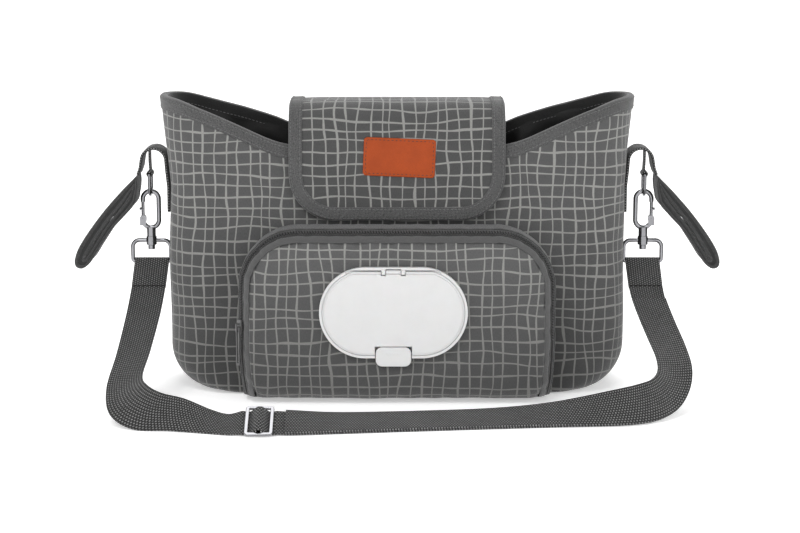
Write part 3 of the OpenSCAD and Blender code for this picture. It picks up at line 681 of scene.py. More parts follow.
HALF_W, FLARE_K, FLARE_Z = 196.5, 0.0962, 176.0
DEPTH, TAPER_K, TAPER_Z = 58.0, 0.09655, 70.0
CORNER, PLAN_R = 40.0, 37.0
RIM_TOP = 253.4
RIM_X = np.array([0, 40, 70, 91, 108, 133, 150, 167, 187, 204.0])
RIM_FRONT = np.array([207.5, 208.5, 210.5, 213.5, 218, 229, 236.5, 243.5, 250.5, RIM_TOP])
RIM_BACK = np.array([211, 212.5, 216.5, 222.5, 229.5, 237.5, 242, 246.5, 251.5, RIM_TOP])
RIM_FINE = spline(np.stack([RIM_X, RIM_FRONT, RIM_BACK], 1), 8)


def rim_height(x, back):
    """Height of the rim: low behind the flap, high at the corners, fuller at the back than at the front."""
    far = np.abs(x)
    front = np.interp(far, RIM_FINE[:, 0], RIM_FINE[:, 1])
    rear = np.interp(far, RIM_FINE[:, 0], RIM_FINE[:, 2])
    return np.where(back, rear, front)


def half_width(z):
    """Straight sides that flare above FLARE_Z and turn in on a quarter circle at the floor."""
    low = np.clip(CORNER - z, 0, CORNER)
    return HALF_W - CORNER + np.sqrt(CORNER ** 2 - low ** 2) + FLARE_K * np.maximum(0, z - FLARE_Z)


def half_depth(z):
    """Half the depth: it narrows above TAPER_Z, and turns in on a small quarter ellipse at the floor."""
    return DEPTH - np.maximum(0, z - TAPER_Z) * TAPER_K - 7 * (1 - np.sqrt(1 - np.clip(1 - z / 7, 0, 1) ** 2))


def oblong(s, w, d, r):
    """Walk a share s of the way from the left seam, round the front, to the right seam of a rounded oblong.
    Gives x, y, the outward direction, and the distance from the middle of the front."""
    side, bend = d - r, r * math.pi / 2
    front = 2 * (w - r)
    whole = 2 * side + 2 * bend + front
    t = s * whole
    phi = np.clip((t - side) / r, 0, math.pi / 2)
    psi = np.clip((t - side - bend - front) / r, 0, math.pi / 2)
    run = np.clip(t - side - bend, 0, front)
    first, last = np.clip(t, 0, side), np.clip(t - side - 2 * bend - front, 0, side)
    x = -w + r - r * np.cos(phi) + run + r * np.sin(psi)
    y = -first - r * np.sin(phi) + r * (1 - np.cos(psi)) + last
    nx, ny = -np.cos(phi) + np.sin(psi), -np.sin(phi) * (psi <= 0) - np.cos(psi) * (psi > 0)
    return x, y, nx, ny, t - whole / 2


def skin(s, z, out=0.0):
    """Points on the body's outside at share s (0 to 1 round the front, 1 to 2 round the back), height z."""
    s, z, out = np.broadcast_arrays(np.asarray(s, float), z, out)
    back = s > 1
    share = np.where(back, 2 - s, s)
    x, y, nx, ny, u = oblong(share, half_width(z), half_depth(z), np.minimum(PLAN_R, half_depth(z) - 1))
    y, ny = np.where(back, -y, y), np.where(back, -ny, ny)
    return np.stack([x + nx * out, y + ny * out, z], -1), np.stack([nx, ny, 0 * nx], -1), u


def rim_at(s):
    """Rim height at share s, from where the skin is at about that height."""
    top, _, _ = skin(s, np.full(np.shape(s), 240.0))
    height = rim_height(top[..., 0], s > 1)
    # the two heights meet evenly round the side seams
    near = np.clip(np.minimum(np.abs(s - 1), np.minimum(s, 2 - s)) / 0.05, 0, 1)
    return height * near + RIM_TOP * (1 - near)


def soft_waves(u, z, seed, size):
    """A slow uneven relief: five sines of different slants and lengths, from -size to size."""
    total = 0
    for k in range(5):
        a = 0.019 + 0.011 * k
        slant = seed + 2.1 * k
        total = total + np.sin(u * a * math.cos(slant) + z * a * 1.4 * math.sin(slant) + seed * (k + 3))
    return size * total / 3.2


def body_wall(name, start, stop, material, nodes, seed):
    """One wrapped panel: rows of heights from floor to rim, columns round the body, with soft waves."""
    s = np.linspace(start, stop, 121)
    share = np.concatenate([np.linspace(0, 0.16, 16)[:-1], np.linspace(0.16, 1, 60)])
    top = rim_at(s) - 1.2
    z = 0.35 + (top[None, :] - 0.35) * share[:, None]
    ss = np.broadcast_to(s[None, :], z.shape)
    _, _, u = skin(ss, z)
    at_seam = np.minimum(np.abs(ss - start), np.abs(ss - stop)) * 500
    calm = np.clip(z / 25, 0, 1) * np.clip((top[None, :] - z) / 20, 0, 1) * np.clip(at_seam / 12, 0, 1)
    out = calm * soft_waves(u, z, seed, 0.9) - 0.5 * np.exp(-(at_seam / 3.5) ** 2)
    P, _, u = skin(ss, z, out)
    uv = np.stack([u, z], -1)
    return make_piece(name, grid(P, uv, flip=True), material, slot="outer_fabric", stands_for=nodes, wall=1.3)


def make_body():
    """Walls, underside, side welts, lining and rim tape."""
    body_wall("front_wall", 0, 1, "print_front", ("front_panel", "foam_front"), 0.7)
    body_wall("back_wall", 1, 2, "print_back", ("back_panel", "foam_back"), 3.9)

    # underside: rings that shrink from the wall's foot to the middle, a little domed upwards
    s = np.linspace(0, 2, 161)[:-1]
    foot, _, _ = skin(s, np.full(s.shape, 0.5))
    shrink = np.array([1.0, 0.985, 0.96, 0.9, 0.75, 0.5, 0.25, 0.02])
    P = np.stack([np.concatenate([foot[:, :2] * k, np.full((len(s), 1), 0.5 + 0.9 * (1 - k))],
                                 1) for k in shrink])
    uv = np.concatenate([P, P[:, :1]], 1)[..., :2]
    under = join(grid(P, uv, wrap_j=True), fan(P[-1], flip=True))
    make_piece("base_cloth", under, "plain", slot="side_fabric", stands_for=("base_panel", "base_board"),
               wall=1.0)

    # side seams: a low welt where the two walls meet
    for sign, s0 in ((-1, 0.0), (1, 1.0)):
        z = np.linspace(2, 252, 80)
        path, _, _ = skin(np.full(z.shape, s0), z, -0.25)
        make_piece("side_welt_left" if sign < 0 else "side_welt_right", tube(path, 0.9, (0, 1, 0), 8),
                   "plain",
                   slot="side_fabric", outward=True)

    # lining: a satin bag inside the walls, with folds that only lean inwards
    s = np.linspace(0, 2, 241)
    share = np.linspace(0, 1, 44)
    top = rim_at(s) - 2.5
    z = 6.2 + (top[None, :] - 6.2) * share[:, None]
    ss = np.broadcast_to(s[None, :], z.shape)
    _, _, u = skin(ss, z)
    turn = ss * math.pi
    fold = (np.sin(9 * turn + z * 0.055 + 1.6 * np.sin(z * 0.03 + 3 * turn))
            + 0.7 * np.sin(17 * turn - z * 0.08 + 2) + 0.5 * np.sin(z * 0.11 + 5 * turn))
    crease = np.abs(np.sin(6 * turn + z * 0.045 + 0.8 * np.sin(11 * turn))) ** 3
    hang = np.clip((top[None, :] - z) / 26, 0, 1) * np.clip(z / 30, 0.15, 1)
    inset = 5.6 + hang * (3.2 + 1.3 * fold + 3.4 * crease)
    P, _, u = skin(ss, z, -np.maximum(inset, 5.5))
    wall = grid(P[:, :-1], np.stack([u, z], -1), wrap_j=True)
    ring = P[0, :-1]
    floor = np.stack([np.concatenate([ring[:, :2] * k, np.full((len(ring), 1), 6.2)], 1)
                      for k in (1, 0.9, 0.5, 0.02)])
    uv = np.concatenate([floor, floor[:, :1]], 1)[..., :2]
    inside = join(wall, grid(floor, uv, wrap_j=True, flip=True), fan(floor[-1]))
    make_piece("satin_lining", inside, "satin", slot="lining_fabric", stands_for=("lining",), wall=0.5)

    # rim tape: a folded profile carried round the rim, following the wall below it
    s = np.linspace(0, 2, 321)[:-1]
    rim = rim_at(s)
    shape = np.array([(0.25, -11.4), (0.95, -11.1), (1.15, -9.6), (0.95, -6), (1.0, -2.5), (0.6, -0.6),
                      (-0.8, 0.35),
                      (-2.7, 0.55), (-4.8, 0.35), (-6.1, -0.7), (-6.5, -2.6), (-6.4, -6), (-6.6, -9.8),
                      (-6.3, -11.2),
                      (-5.7, -11.2), (-5.5, -6), (-4.9, -1.9), (-2.7, -1.1), (-0.4, -1.9), (-0.05, -6)])
    wave = 0.18 * np.sin(np.arange(len(s)) * 0.8) + 0.12 * np.sin(np.arange(len(s)) * 2.3)
    P, _, _ = skin(s[:, None], rim[:, None] + shape[None, :, 1] + wave[:, None] * (shape[None, :, 1] < -9),
                   np.broadcast_to(shape[None, :, 0], (len(s), len(shape))))
    long = path_lengths(np.concatenate([P[:, 0], P[:1, 0]]))
    wide = path_lengths(round_again(shape))
    uv = map_table(long, wide)
    make_piece("rim_tape", grid(P, uv, wrap_i=True, wrap_j=True, flip=True), "twill", slot="binding",
               stands_for=("rim_binding",), outward=True)
    # the inner face of the rim tape: a near-black strip as painted shade for the shade inside the rim
    dark = np.array([(-6.3, -0.3), (-6.7, -1.2), (-7.0, -3), (-6.9, -6), (-7.1, -9.8), (-6.9, -11.6),
                     (-6.4, -11.4),
                     (-6.3, -6), (-6.1, -1.5)])
    P, _, _ = skin(s[:, None], rim[:, None] + dark[None, :, 1],
                   np.broadcast_to(dark[None, :, 0], (len(s), len(dark))))
    wide = path_lengths(round_again(dark))
    uv = map_table(long, wide)
    make_piece("rim_tape_inside", grid(P, uv, wrap_i=True, wrap_j=True), "twill_inner_shade", slot="binding",
               outward=True)
    rows = []
    for drop, out in ((9.3, 1.05), (1.9, 0.95)):
        fine = np.linspace(0, 2, 900)
        path, up, _ = skin(fine, rim_at(fine) - drop, out)
        rows.append(stitches(path, up))
    fine = np.linspace(1.02, 1.98, 420)
    path, up, _ = skin(fine, rim_at(fine) - 9.3, -7.1)
    rows.append(stitches(path, -up))
    make_piece("rim_stitches", join(*rows), "thread", slot="binding")


# ---------------------------------------------------------------- flap

FLAP_W, FLAP_R = 91.5, 39.0
LABEL_W, LABEL_H, LABEL_Z = 30.5, 16.25, 204.0
TAPE_Z = 177.0


def flap_line():
    """The flap's middle line in (y, z): up from its hinge, over the rim, and down the front."""
    def bend(cy, cz, r, a, b, n):
        """An arc from a to b degrees in n points."""
        t = np.radians(np.linspace(a, b, n))
        return np.stack([cy + r * np.cos(t), cz + r * np.sin(t)], 1)
    points = np.concatenate([[(48.7, 205.5), (49.0, 222)], bend(31, 226, 18, 0, 78, 9),
                             [(10, 247.6), (-10, 248.7)],
                             bend(-24, 223.8, 24.3, 80, 172, 11), [(-55.46, 151)]])
    return resample(points, 1.0)


LINE_YZ = flap_line()
LINE_Q = path_lengths(LINE_YZ)
FLAP_END = LINE_Q[-1]
LINE_WAY = tangents(LINE_YZ)


def flap_at(x, q, out=0.0):
    """A point on the flap: x across, q down its length from the hinge, out from its middle surface."""
    y, z = np.interp(q, LINE_Q, LINE_YZ[:, 0]), np.interp(q, LINE_Q, LINE_YZ[:, 1])
    wy, wz = np.interp(q, LINE_Q, LINE_WAY[:, 0]), np.interp(q, LINE_Q, LINE_WAY[:, 1])
    size = np.hypot(wy, wz)
    ny, nz = wz / size, -wy / size
    x, y, z, ny, nz, out = np.broadcast_arrays(x, y, z, ny, nz, out)
    return np.stack([x, y + ny * out, z + nz * out], -1), np.stack([0 * ny, ny, nz], -1)


def q_at_height(z):
    """How far down the flap its front hangs at height z."""
    hanging = LINE_Q > 60
    return np.interp(-z, -LINE_YZ[hanging, 1], LINE_Q[hanging])


def flap_edge(inset, start=0.0, pitch=2.0):
    """The free edge, inset by some distance, as (x, q), with the inward direction: down, across, up again."""
    w, r = FLAP_W - inset, FLAP_R - inset
    t = np.linspace(0, math.pi / 2, 28)
    left = np.stack([-w + 0 * t, np.linspace(start, FLAP_END - FLAP_R, len(t))], 1)
    corner = np.stack([-FLAP_W + FLAP_R - r * np.cos(t), FLAP_END - FLAP_R + r * np.sin(t)], 1)
    half = np.concatenate([left[:-1], corner])
    mirror = half[::-1] * np.array([-1, 1])
    line = resample(np.concatenate([half, mirror]), pitch)
    way = tangents(line)
    return line, np.stack([way[:, 1], -way[:, 0]], 1)


def make_flap():
    """The padded panel, its tape and stitches, the label, the strip it hangs from, and the closing tapes."""
    q = np.concatenate([np.linspace(0, FLAP_END - FLAP_R, 70)[:-1],
                        FLAP_END - FLAP_R + (FLAP_R - 1) * np.sin(np.linspace(0, math.pi / 2, 26))])
    drop = np.clip(q - (FLAP_END - FLAP_R), 0, FLAP_R - 1)
    w = FLAP_W - 1 - FLAP_R + np.sqrt(FLAP_R ** 2 - drop ** 2)
    c = np.linspace(-1, 1, 61)
    x = w[:, None] * c[None, :]
    qq = np.broadcast_to(q[:, None], x.shape)
    edge = np.minimum(w[:, None] - np.abs(x), FLAP_END - 1 - qq)
    puff = 0.9 * (1 - np.exp(-np.clip(edge - 9, 0, None) / 10))
    puff = puff + 0.35 * soft_waves(x, qq, 1.3, 1) * np.clip(edge / 20, 0, 1)
    front, _ = flap_at(x, qq, 1.4 + puff)
    rear, _ = flap_at(x, qq, -1.4)
    panel = make_piece("flap_pad", slab(front, rear, np.stack([x, qq], -1)), "print_flap_shaded", "flap",
                       "outer_fabric", ("flap_panel",), outward=True)

    line, inward = flap_edge(0, 13)
    shape = np.array([(11.1, 1.5), (11.0, 2.45), (9.5, 2.75), (5, 2.6), (1.6, 2.5), (0.3, 1.9), (-0.35, 0),
                      (0.3, -1.9), (1.6, -2.3), (5, -2.3), (9.5, -2.4), (11.0, -2.2), (11.1, -1.5)])
    xq = line[:, None] + inward[:, None] * shape[None, :, :1]
    P, _ = flap_at(xq[..., 0], xq[..., 1], np.broadcast_to(shape[None, :, 1], xq.shape[:2]))
    long = path_lengths(line)
    wide = path_lengths(round_again(shape))
    tape = join(grid(P, map_table(long, wide), wrap_j=True), fan(P[0]), fan(P[-1]))
    make_piece("flap_tape", tape, "twill", "flap", "binding", ("flap_binding",), outward=True)
    rows = []
    for inset in (1.7, 9.4):
        run, _ = flap_edge(inset, 14, 1.0)
        path, up = flap_at(run[:, 0], run[:, 1], 2.72)
        rows.append(stitches(path, up))
    make_piece("flap_stitches", join(*rows), "thread", "flap", "binding")

    # leather label: a crowned plate with rounded corners, tilted, and a row of sunk stitches
    q0 = q_at_height(LABEL_Z)
    tilt = math.radians(2.3)

    def on_label(a, b, out):
        """Across and up from the label's middle, turned by its tilt."""
        x = 2 + a * math.cos(tilt) + b * math.sin(tilt)
        q = q0 + a * math.sin(tilt) - b * math.cos(tilt)
        return flap_at(x, q, 1.5 + out)
    outline = rounded_box_profile(LABEL_W, LABEL_H, 3.0, 6)
    rings = []
    for inset, out in ((0.0, 0.9), (0.0, 1.6), (0.25, 2.0), (0.8, 2.25), (1.6, 2.2), (2.2, 2.12), (3.0, 2.3),
                       (8, 2.45), (15.9, 2.5)):
        ring = outline * np.array([(LABEL_W - inset) / LABEL_W, (LABEL_H - inset) / LABEL_H])
        rings.append(on_label(ring[:, 0], ring[:, 1], out)[0])
    P = np.stack(rings)
    plate = join(grid(P, wrap_j=True), fan(P[-1], flip=True), fan(P[0]))
    make_piece("leather_label", plate, "leather", "flap", "leather", ("flap_label",), outward=True)
    loop = resample(round_again(outline) * np.array([(LABEL_W - 2) / LABEL_W, (LABEL_H - 2) / LABEL_H]), 0.5)
    path, up = on_label(loop[:, 0], loop[:, 1], 2.12)
    make_piece("label_stitches", stitches(path, up, 1.9, 1.5, 0.3), "thread_dark", "flap", "leather")

    # the sewn strip where the flap joins the back, and the closing tapes
    z = np.linspace(180, 206, 14)
    x = np.linspace(-90, 90, 31)
    steps = np.array([180.0, 194.0, 198.0, 206.0])
    y = np.interp(z, steps, half_depth(steps) + np.array([1.6, 1.7, 2.4, 2.9]))
    P = np.stack(np.broadcast_arrays(x[None, :], y[:, None] + 0 * x[None, :], z[:, None]), -1)
    make_piece("flap_root", grid(P, P[..., [0, 2]]), "plain", "bag", "outer_fabric", ("flap_anchor",),
               wall=1.3)
    rows = []
    for height in (184.0, 190.0):
        path = np.stack([x, np.full(x.shape, np.interp(height, z, y) + 0.1), np.full(x.shape, height)], 1)
        rows.append(stitches(path, np.broadcast_to([0.0, 1.0, 0.0], path.shape), 2.6, 1.2, 0.35))
    make_piece("root_stitches", join(*rows), "thread", "bag", "outer_fabric")

    def fuzzy_plate(name, half_w, half_h, body, node, lean, base):
        """A flat tape with a bristly face: uneven height over a fine table of points."""
        a, b = np.meshgrid(np.linspace(-half_w, half_w, 64), np.linspace(-half_h, half_h, 16), indexing="ij")
        rough_top = 0.25 * np.sin(a * 3.1) * np.sin(b * 3.3)
        top, bottom = lean(a, b, base[1] + rough_top), lean(a, b, base[0] + 0 * a)
        make_piece(name, slab(top, bottom, np.stack([a, b], -1)), "hook_tape", body, "closure_tape", (node,),
                   outward=True)

    q1 = q_at_height(TAPE_Z)

    def inside_flap(a, b, out):
        """Across and up from the tape's middle on the flap's inner side."""
        return flap_at(a, q1 - b, -1.5 - out)[0]

    def on_front(a, b, out):
        """The same on the front panel."""
        return np.stack([a, -(half_depth(TAPE_Z + b) + out), TAPE_Z + b], -1)
    fuzzy_plate("hook_tape", 45, 9, "flap", "flap_hook_tape", inside_flap, (0.1, 1.1))
    fuzzy_plate("loop_tape", 48, 11, "bag", "front_loop_tape", on_front, (0.1, 1.5))


# ---------------------------------------------------------------- pocket

POCKET_W, POCKET_TOP, POCKET_R, POCKET_Y = 133.0, 148.0, 50.0, 98.0
POCKET_FOOT = 3.4
ROLL_Z = 24.0


def arch(t):
    """The pocket's outline at its gusset at share t of its length: up the left, over the top, down the right.
    The sides lean in near the floor. Gives (x, z), the outward direction, and the distance walked."""
    side, bend, top = POCKET_TOP - POCKET_R - POCKET_FOOT, POCKET_R * math.pi / 2, 2 * (POCKET_W - POCKET_R)
    whole = 2 * side + 2 * bend + top
    d = np.asarray(t, float) * whole
    up = np.clip(d, 0, side)
    phi = np.clip((d - side) / POCKET_R, 0, math.pi / 2)
    run = np.clip(d - side - bend, 0, top)
    psi = np.clip((d - side - bend - top) / POCKET_R, 0, math.pi / 2)
    down = np.clip(d - side - 2 * bend - top, 0, side)
    x = -POCKET_W + POCKET_R * (1 - np.cos(phi)) + run + POCKET_R * np.sin(psi)
    z = POCKET_FOOT + up + POCKET_R * np.sin(phi) - POCKET_R * (1 - np.cos(psi)) - down
    over = psi > 0
    nx = np.where(over, np.sin(psi), -np.cos(phi))
    nz = np.where(over, np.cos(psi), np.sin(phi))
    x = x - np.sign(x) * 4.5 * np.clip((52 - z) / 52, 0, 1) ** 2
    return np.stack([x, z], -1), np.stack([nx, nz], -1), d


def foot_back(z):
    """How far the pocket's front is set back near the floor: a quarter ellipse below 24."""
    sink = np.clip((ROLL_Z - z) / (ROLL_Z - POCKET_FOOT), 0, 1)
    return 18 * (1 - np.sqrt(np.clip(1 - sink ** 2, 0, 1)))


def band_at(t, r, forward):
    """A point of the pocket's band: r from the bend's centre, forward in front of the body's middle."""
    t, r, forward = np.broadcast_arrays(np.asarray(t, float), r, forward)
    xz, n, d = arch(t)
    xz = xz + n * (r - POCKET_R)[..., None]
    y = np.maximum(forward - foot_back(xz[..., 1]) * np.clip((forward - 58) / 40, 0, 1), 57.5)
    return np.stack([xz[..., 0], -y, np.maximum(xz[..., 1], 3.2)], -1), n, d


def band_strip(t, shape, pucker):
    """A closed profile of (r, forward) carried along the arch; pucker ripples it in and out."""
    ripple = pucker * (np.sin(t * 190) + 0.6 * np.sin(t * 331 + 1) + 0.5 * np.sin(t * 83 + 2))
    P, _, d = band_at(t[:, None], shape[None, :, 0] + ripple[:, None] * 0.6, shape[None, :, 1]
                      + ripple[:, None])
    wide = path_lengths(round_again(shape))
    uv = np.stack(np.broadcast_arrays(d[:, :1], wide[None, :]), -1)
    return join(grid(P, uv, wrap_j=True), fan(P[0]), fan(P[-1]))


def zip_at(s, h):
    """The zip's slanted line: s across it from the back, h out from it."""
    return POCKET_R - 0.5 * s + 0.87 * h, 84.1 + 0.87 * s + 0.5 * h


def face_at(x, q, out=0.0):
    """The pocket's face: flat above q = 0 (height ROLL_Z), and rolled under on a quarter ellipse below it."""
    phi = np.clip(-q / 21.0, 0, math.pi / 2)
    y = np.where(q >= 0, -POCKET_Y, -(80 + 18 * np.cos(phi))) - out * np.cos(phi)
    z = np.where(q >= 0, ROLL_Z + q, ROLL_Z - 20.8 * np.sin(phi)) - out * np.sin(phi)
    return np.stack([x + 0 * y, y, np.maximum(z, 0.3)], -1)


LID_X, LID_Z, LID_FLAT, LID_R = -3.0, 80.0, 23.5, 38.5


def stadium(t, inset):
    """A long round outline at share t, anticlockwise from the right end: two half circles, two straights."""
    r = LID_R + inset
    r0 = 38.5
    bend, straight = r0 * math.pi, 2 * LID_FLAT
    d = (np.asarray(t, float) % 1) * 2 * (bend + straight)
    quarter = bend / 2
    a = np.clip(d / r0, 0, math.pi / 2)
    run1 = np.clip(d - quarter, 0, straight)
    b = np.clip((d - quarter - straight) / r0, 0, math.pi)
    run2 = np.clip(d - quarter - straight - bend, 0, straight)
    c = np.clip((d - quarter - 2 * straight - bend) / r0, 0, math.pi / 2)
    angle = a + b + c
    x = LID_FLAT - run1 + run2 + r * np.cos(angle)
    return np.stack([x, r * np.sin(angle)], -1), np.stack([np.cos(angle), np.sin(angle)], -1)


def make_pocket():
    """Gusset, zip tapes and teeth, the light band, the printed face and the floor of the pocket."""
    t = np.linspace(0, 1, 420)
    gusset = np.array([(50.0, 57.6), (50.3, 62), (50.5, 72), (50.5, 80), (50.4, 83.6), (49.9, 84.6),
                       (49.1, 84.2),
                       (48.9, 80), (48.8, 70), (48.7, 57.6)])
    make_piece("pocket_gusset_cloth", band_strip(t, gusset, 0.25), "plain", slot="side_fabric",
               stands_for=("pocket_gusset",), outward=True)

    def strip_of(s0, s1, h0, h1):
        """The closed profile of a tape from s0 to s1 across the zip, a little crowned."""
        s = np.array([s0, s0 + 0.3, (s0 + s1) / 2, s1 - 0.3, s1, s1 - 0.2, (s0 + s1) / 2, s0 + 0.2])
        h = np.array([(h0 + h1) / 2, h1, h1 + 0.35, h1, (h0 + h1) / 2, h0, h0, h0])
        return np.stack(zip_at(s, h), 1)
    make_piece("zip_tape_behind", band_strip(t, strip_of(0.4, 4.4, -1.2, -0.3), 0.1), "tape", slot="zip_tape",
               stands_for=("zip_tape_rear",), outward=True)
    make_piece("zip_tape_ahead", band_strip(t, strip_of(5.6, 9.7, -1.2, -0.3), 0.1), "tape", slot="zip_tape",
               stands_for=("zip_tape_front",), outward=True)

    def teeth(s0, s1, phase):
        """One small wedge repeated along a tape."""
        line, n, _ = band_at(np.linspace(0, 1, 1500), *zip_at((s0 + s1) / 2, 0.3))
        keep = line[:, 2] > 53
        line, n = line[keep], n[keep]
        walked = path_lengths(line)
        marks = np.arange(1.0 + phase, walked[-1], 2.3)
        place = read_off(marks, walked, line)
        way = unit(read_off(marks, walked, tangents(line)))
        nn = read_off(marks, walked, n)
        cross = unit(np.stack([-0.5 * nn[:, 0], np.full(len(nn), -0.87), -0.5 * nn[:, 1]], 1))
        outward = np.stack([nn[:, 0], 0 * nn[:, 0], nn[:, 1]], 1)
        lift = unit(np.cross(way, cross))
        lift = lift * np.sign(np.sum(lift * outward, 1))[:, None]
        w = (s1 - s0) / 2
        low = np.array([(-0.65, -w), (0.65, -w), (0.65, w), (-0.65, w)])
        P = np.concatenate([place[:, None] + way[:, None] * low[None, :, :1] * k
                            + cross[:, None] * low[None, :, 1:] * k2 + lift[:, None] * h
                            for k, k2, h in ((1, 1, -0.4), (1, 1, 0.25), (0.55, 0.75, 0.62))], 1)
        quads = np.array([(0, 1, 5, 4), (1, 2, 6, 5), (2, 3, 7, 6), (3, 0, 4, 7), (4, 5, 9, 8), (5, 6, 10, 9),
                          (6, 7, 11, 10), (7, 4, 8, 11), (8, 9, 10, 11), (3, 2, 1, 0)])
        faces = (quads[None] + (np.arange(len(marks)) * 12)[:, None, None]).reshape(-1, 4)
        return P.reshape(-1, 3), [faces], [np.zeros(faces.shape + (2,))]
    make_piece("zip_teeth_behind", teeth(3.0, 4.9, 0.0), "teeth", slot="zip_teeth",
               stands_for=("zip_teeth_rear",), outward=True)
    make_piece("zip_teeth_ahead", teeth(5.0, 6.9, 1.15), "teeth", slot="zip_teeth",
               stands_for=("zip_teeth_front",), outward=True)

    band = np.array([zip_at(9.8, -1.2), zip_at(9.7, 0.3), (44.7, 94.6), (42.6, 97.0), (41.0, 98.3),
                     (40.3, 97.9), (40.6, 96.6), (43.5, 93.6)])
    make_piece("light_band", band_strip(t, band, 0.35), "band", slot="piping", stands_for=("pocket_piping",),
               outward=True)

    # face: a ring of cloth between the arch and the lid's hole, puffed off its seam and gathered beside it
    cols = 480
    share = np.arange(cols) / cols
    q_low = -21.0 * math.pi / 2
    half, top = POCKET_W - 9.4, POCKET_TOP - 9.4 - ROLL_Z
    r = POCKET_R - 9.4
    turn = np.linspace(0, math.pi / 2, 16)
    right = np.stack([POCKET_W - POCKET_R + r * np.sin(turn), top - r + r * np.cos(turn)], 1)
    side_q = np.linspace(top - r, q_low, 30)[1:]
    lean = 4.5 * np.clip((28 - side_q) / 52, 0, 1) ** 2
    side = np.stack([half - lean, side_q], 1)
    half_loop = np.concatenate([[(LID_X, top)], right, side, [(LID_X, q_low)]])
    left_loop = half_loop[::-1] * np.array([-1, 1])
    left_loop[0, 0] = left_loop[-1, 0] = LID_X
    loop = np.concatenate([half_loop[:-1], left_loop[:-1]])
    hole, _ = stadium(0.25 - share, -5.6)
    hole = hole + np.array([LID_X, LID_Z - ROLL_Z])
    # the outer place for each column lies on the ray from the lid's middle through the hole's place
    fine = resample(round_again(loop), 0.4)[:-1]
    centre = np.array([LID_X, LID_Z - ROLL_Z])
    at_fine = np.unwrap(np.arctan2(*(fine - centre).T))
    at_hole = np.unwrap(np.arctan2(*(hole - centre).T))
    order = np.argsort(at_fine)
    outer = np.stack([np.interp(at_hole, at_fine[order], fine[order, k], period=TURN) for k in (0, 1)], 1)
    k = np.concatenate([np.linspace(0, 0.2, 18)[:-1], np.linspace(0.2, 1, 30)])[:, None, None]
    xq = outer[None] * (1 - k) + hole[None] * k
    edge = np.linalg.norm(xq - outer[None], axis=-1)
    to_lid = np.linalg.norm(xq - hole[None], axis=-1)
    walk = share[None, :] * 780
    low_side = np.clip((q_low + 14 - xq[..., 1]) / 14, 0, 1)
    gather = np.exp(-edge / 9) * (0.75 * np.sin(walk / 4.3 + 2 * np.sin(walk / 19))
                                  + 0.4 * np.sin(walk / 9.1))
    puff = -1.6 + 3.0 * (1 - np.exp(-edge / 4.0))
    x, q = xq[..., 0], xq[..., 1]
    sag = 1.5 * np.exp(-((q - 34 + 0.28 * (x + 95)) / 9) ** 2 - ((x + 96) / 26) ** 2)
    sag = sag + 1.2 * np.exp(-((q - 66 + 0.35 * (x + 95)) / 7) ** 2 - ((x + 100) / 20) ** 2)
    sag = sag + 1.3 * np.exp(-((q - 40 - 0.3 * (x - 95)) / 9) ** 2 - ((x - 98) / 26) ** 2)
    free = np.clip((to_lid - 8) / 14, 0, 1)
    free = free * free * (3 - 2 * free)
    belly = 2.2 * np.exp(-((q - 22) / 34) ** 2)
    out = (puff + gather + 1.5 * sag + belly + 0.8 * soft_waves(x, q, 5.1, 1)) * free + 0.15 * (1 - free)
    out = out * (1 - 0.85 * low_side)
    P = face_at(x, q, out)
    uv = np.concatenate([xq, xq[:, :1]], 1)
    face = make_piece("pocket_front", grid(P, uv, wrap_j=True), "print_pocket_lit", slot="outer_fabric",
                      stands_for=("pocket_face",), wall=1.2)

    # pocket floor: from the face's foot back to the body
    x = np.linspace(-122, 122, 60)
    y = np.linspace(-81, -56, 12)
    waves = 0.25 * np.sin(x[None, :] / 17) * np.sin((y[:, None] + 81) / 8)
    P = np.stack(np.broadcast_arrays(x[None, :], y[:, None], POCKET_FOOT + waves), -1)
    make_piece("pocket_floor", grid(P, P[..., :2]), "plain", slot="side_fabric", stands_for=("pocket_base",),
               wall=0.8)


def make_zip_pull():
    """The slider and the tab that hangs from it."""
    softened("zip_slider", "slider_body", "painted", "zip_slider", 0.3)
    softened("zip_pull", "pull_tab", "painted", "zip_pull", 0.3)


# ---------------------------------------------------------------- wipes lid


def make_wipes_lid():
    """The frame, its clamping ring and pin, the lid, the button with its ridges, and the soft seal."""
    softened("wipes_frame", "lid_frame", "white", "bag", 0.5)
    softened("wipes_ring", "lid_clamp", "white", "bag", 0.3)
    softened("wipes_pin", "lid_pin", "steel", "bag", 0.1)
    softened("wipes_lid", "lid_cover", "white", "wipes_lid", 0.45)
    corners = rounded_box_profile(14.9, 8.3, 5.5, 8)
    P = np.stack([np.stack([-3 + corners[:, 0] * k, np.full(len(corners), y), 42.8 + corners[:, 1] * k], 1)
                  for y, k in ((-101.0, 1), (-102.4, 1), (-102.9, 0.985), (-103.2, 0.94), (-103.3, 0.86))])
    button = join(grid(P, wrap_j=True), fan(P[0]), fan(P[-1]))
    make_piece("lid_button", button, "white", "wipes_button", "white_plastic", ("wipes_button",),
               outward=True)
    marks = np.stack([np.linspace(-10, 4, 30), np.full(30, -103.3), np.full(30, 45.2)], 1)
    ridges = stitches(marks, np.broadcast_to([0.0, -1.0, 0.0], marks.shape), 1.5, 0.9, 0.3)
    make_piece("button_ridges", ridges, "white", "wipes_button", "white_plastic")
    t = np.linspace(0, 1, 200)[:-1]
    xz, n = stadium(t, -11.4)
    path = np.stack([LID_X + xz[:, 0], np.full(len(t), -POCKET_Y), LID_Z + xz[:, 1]], 1)
    side = np.stack([n[:, 0], 0 * t, n[:, 1]], 1)
    up = np.broadcast_to([0.0, -1.0, 0.0], side.shape)
    lip = np.array([(-0.7, -2.2), (0.7, -2.2), (0.75, 1.2), (0.5, 1.9), (0, 2.15), (-0.5, 1.9), (-0.75, 1.2)])
    make_piece("lid_seal", sweep(path, side, up, lip, closed_path=True), "seal", slot="seal",
               stands_for=("wipes_seal",), outward=True)


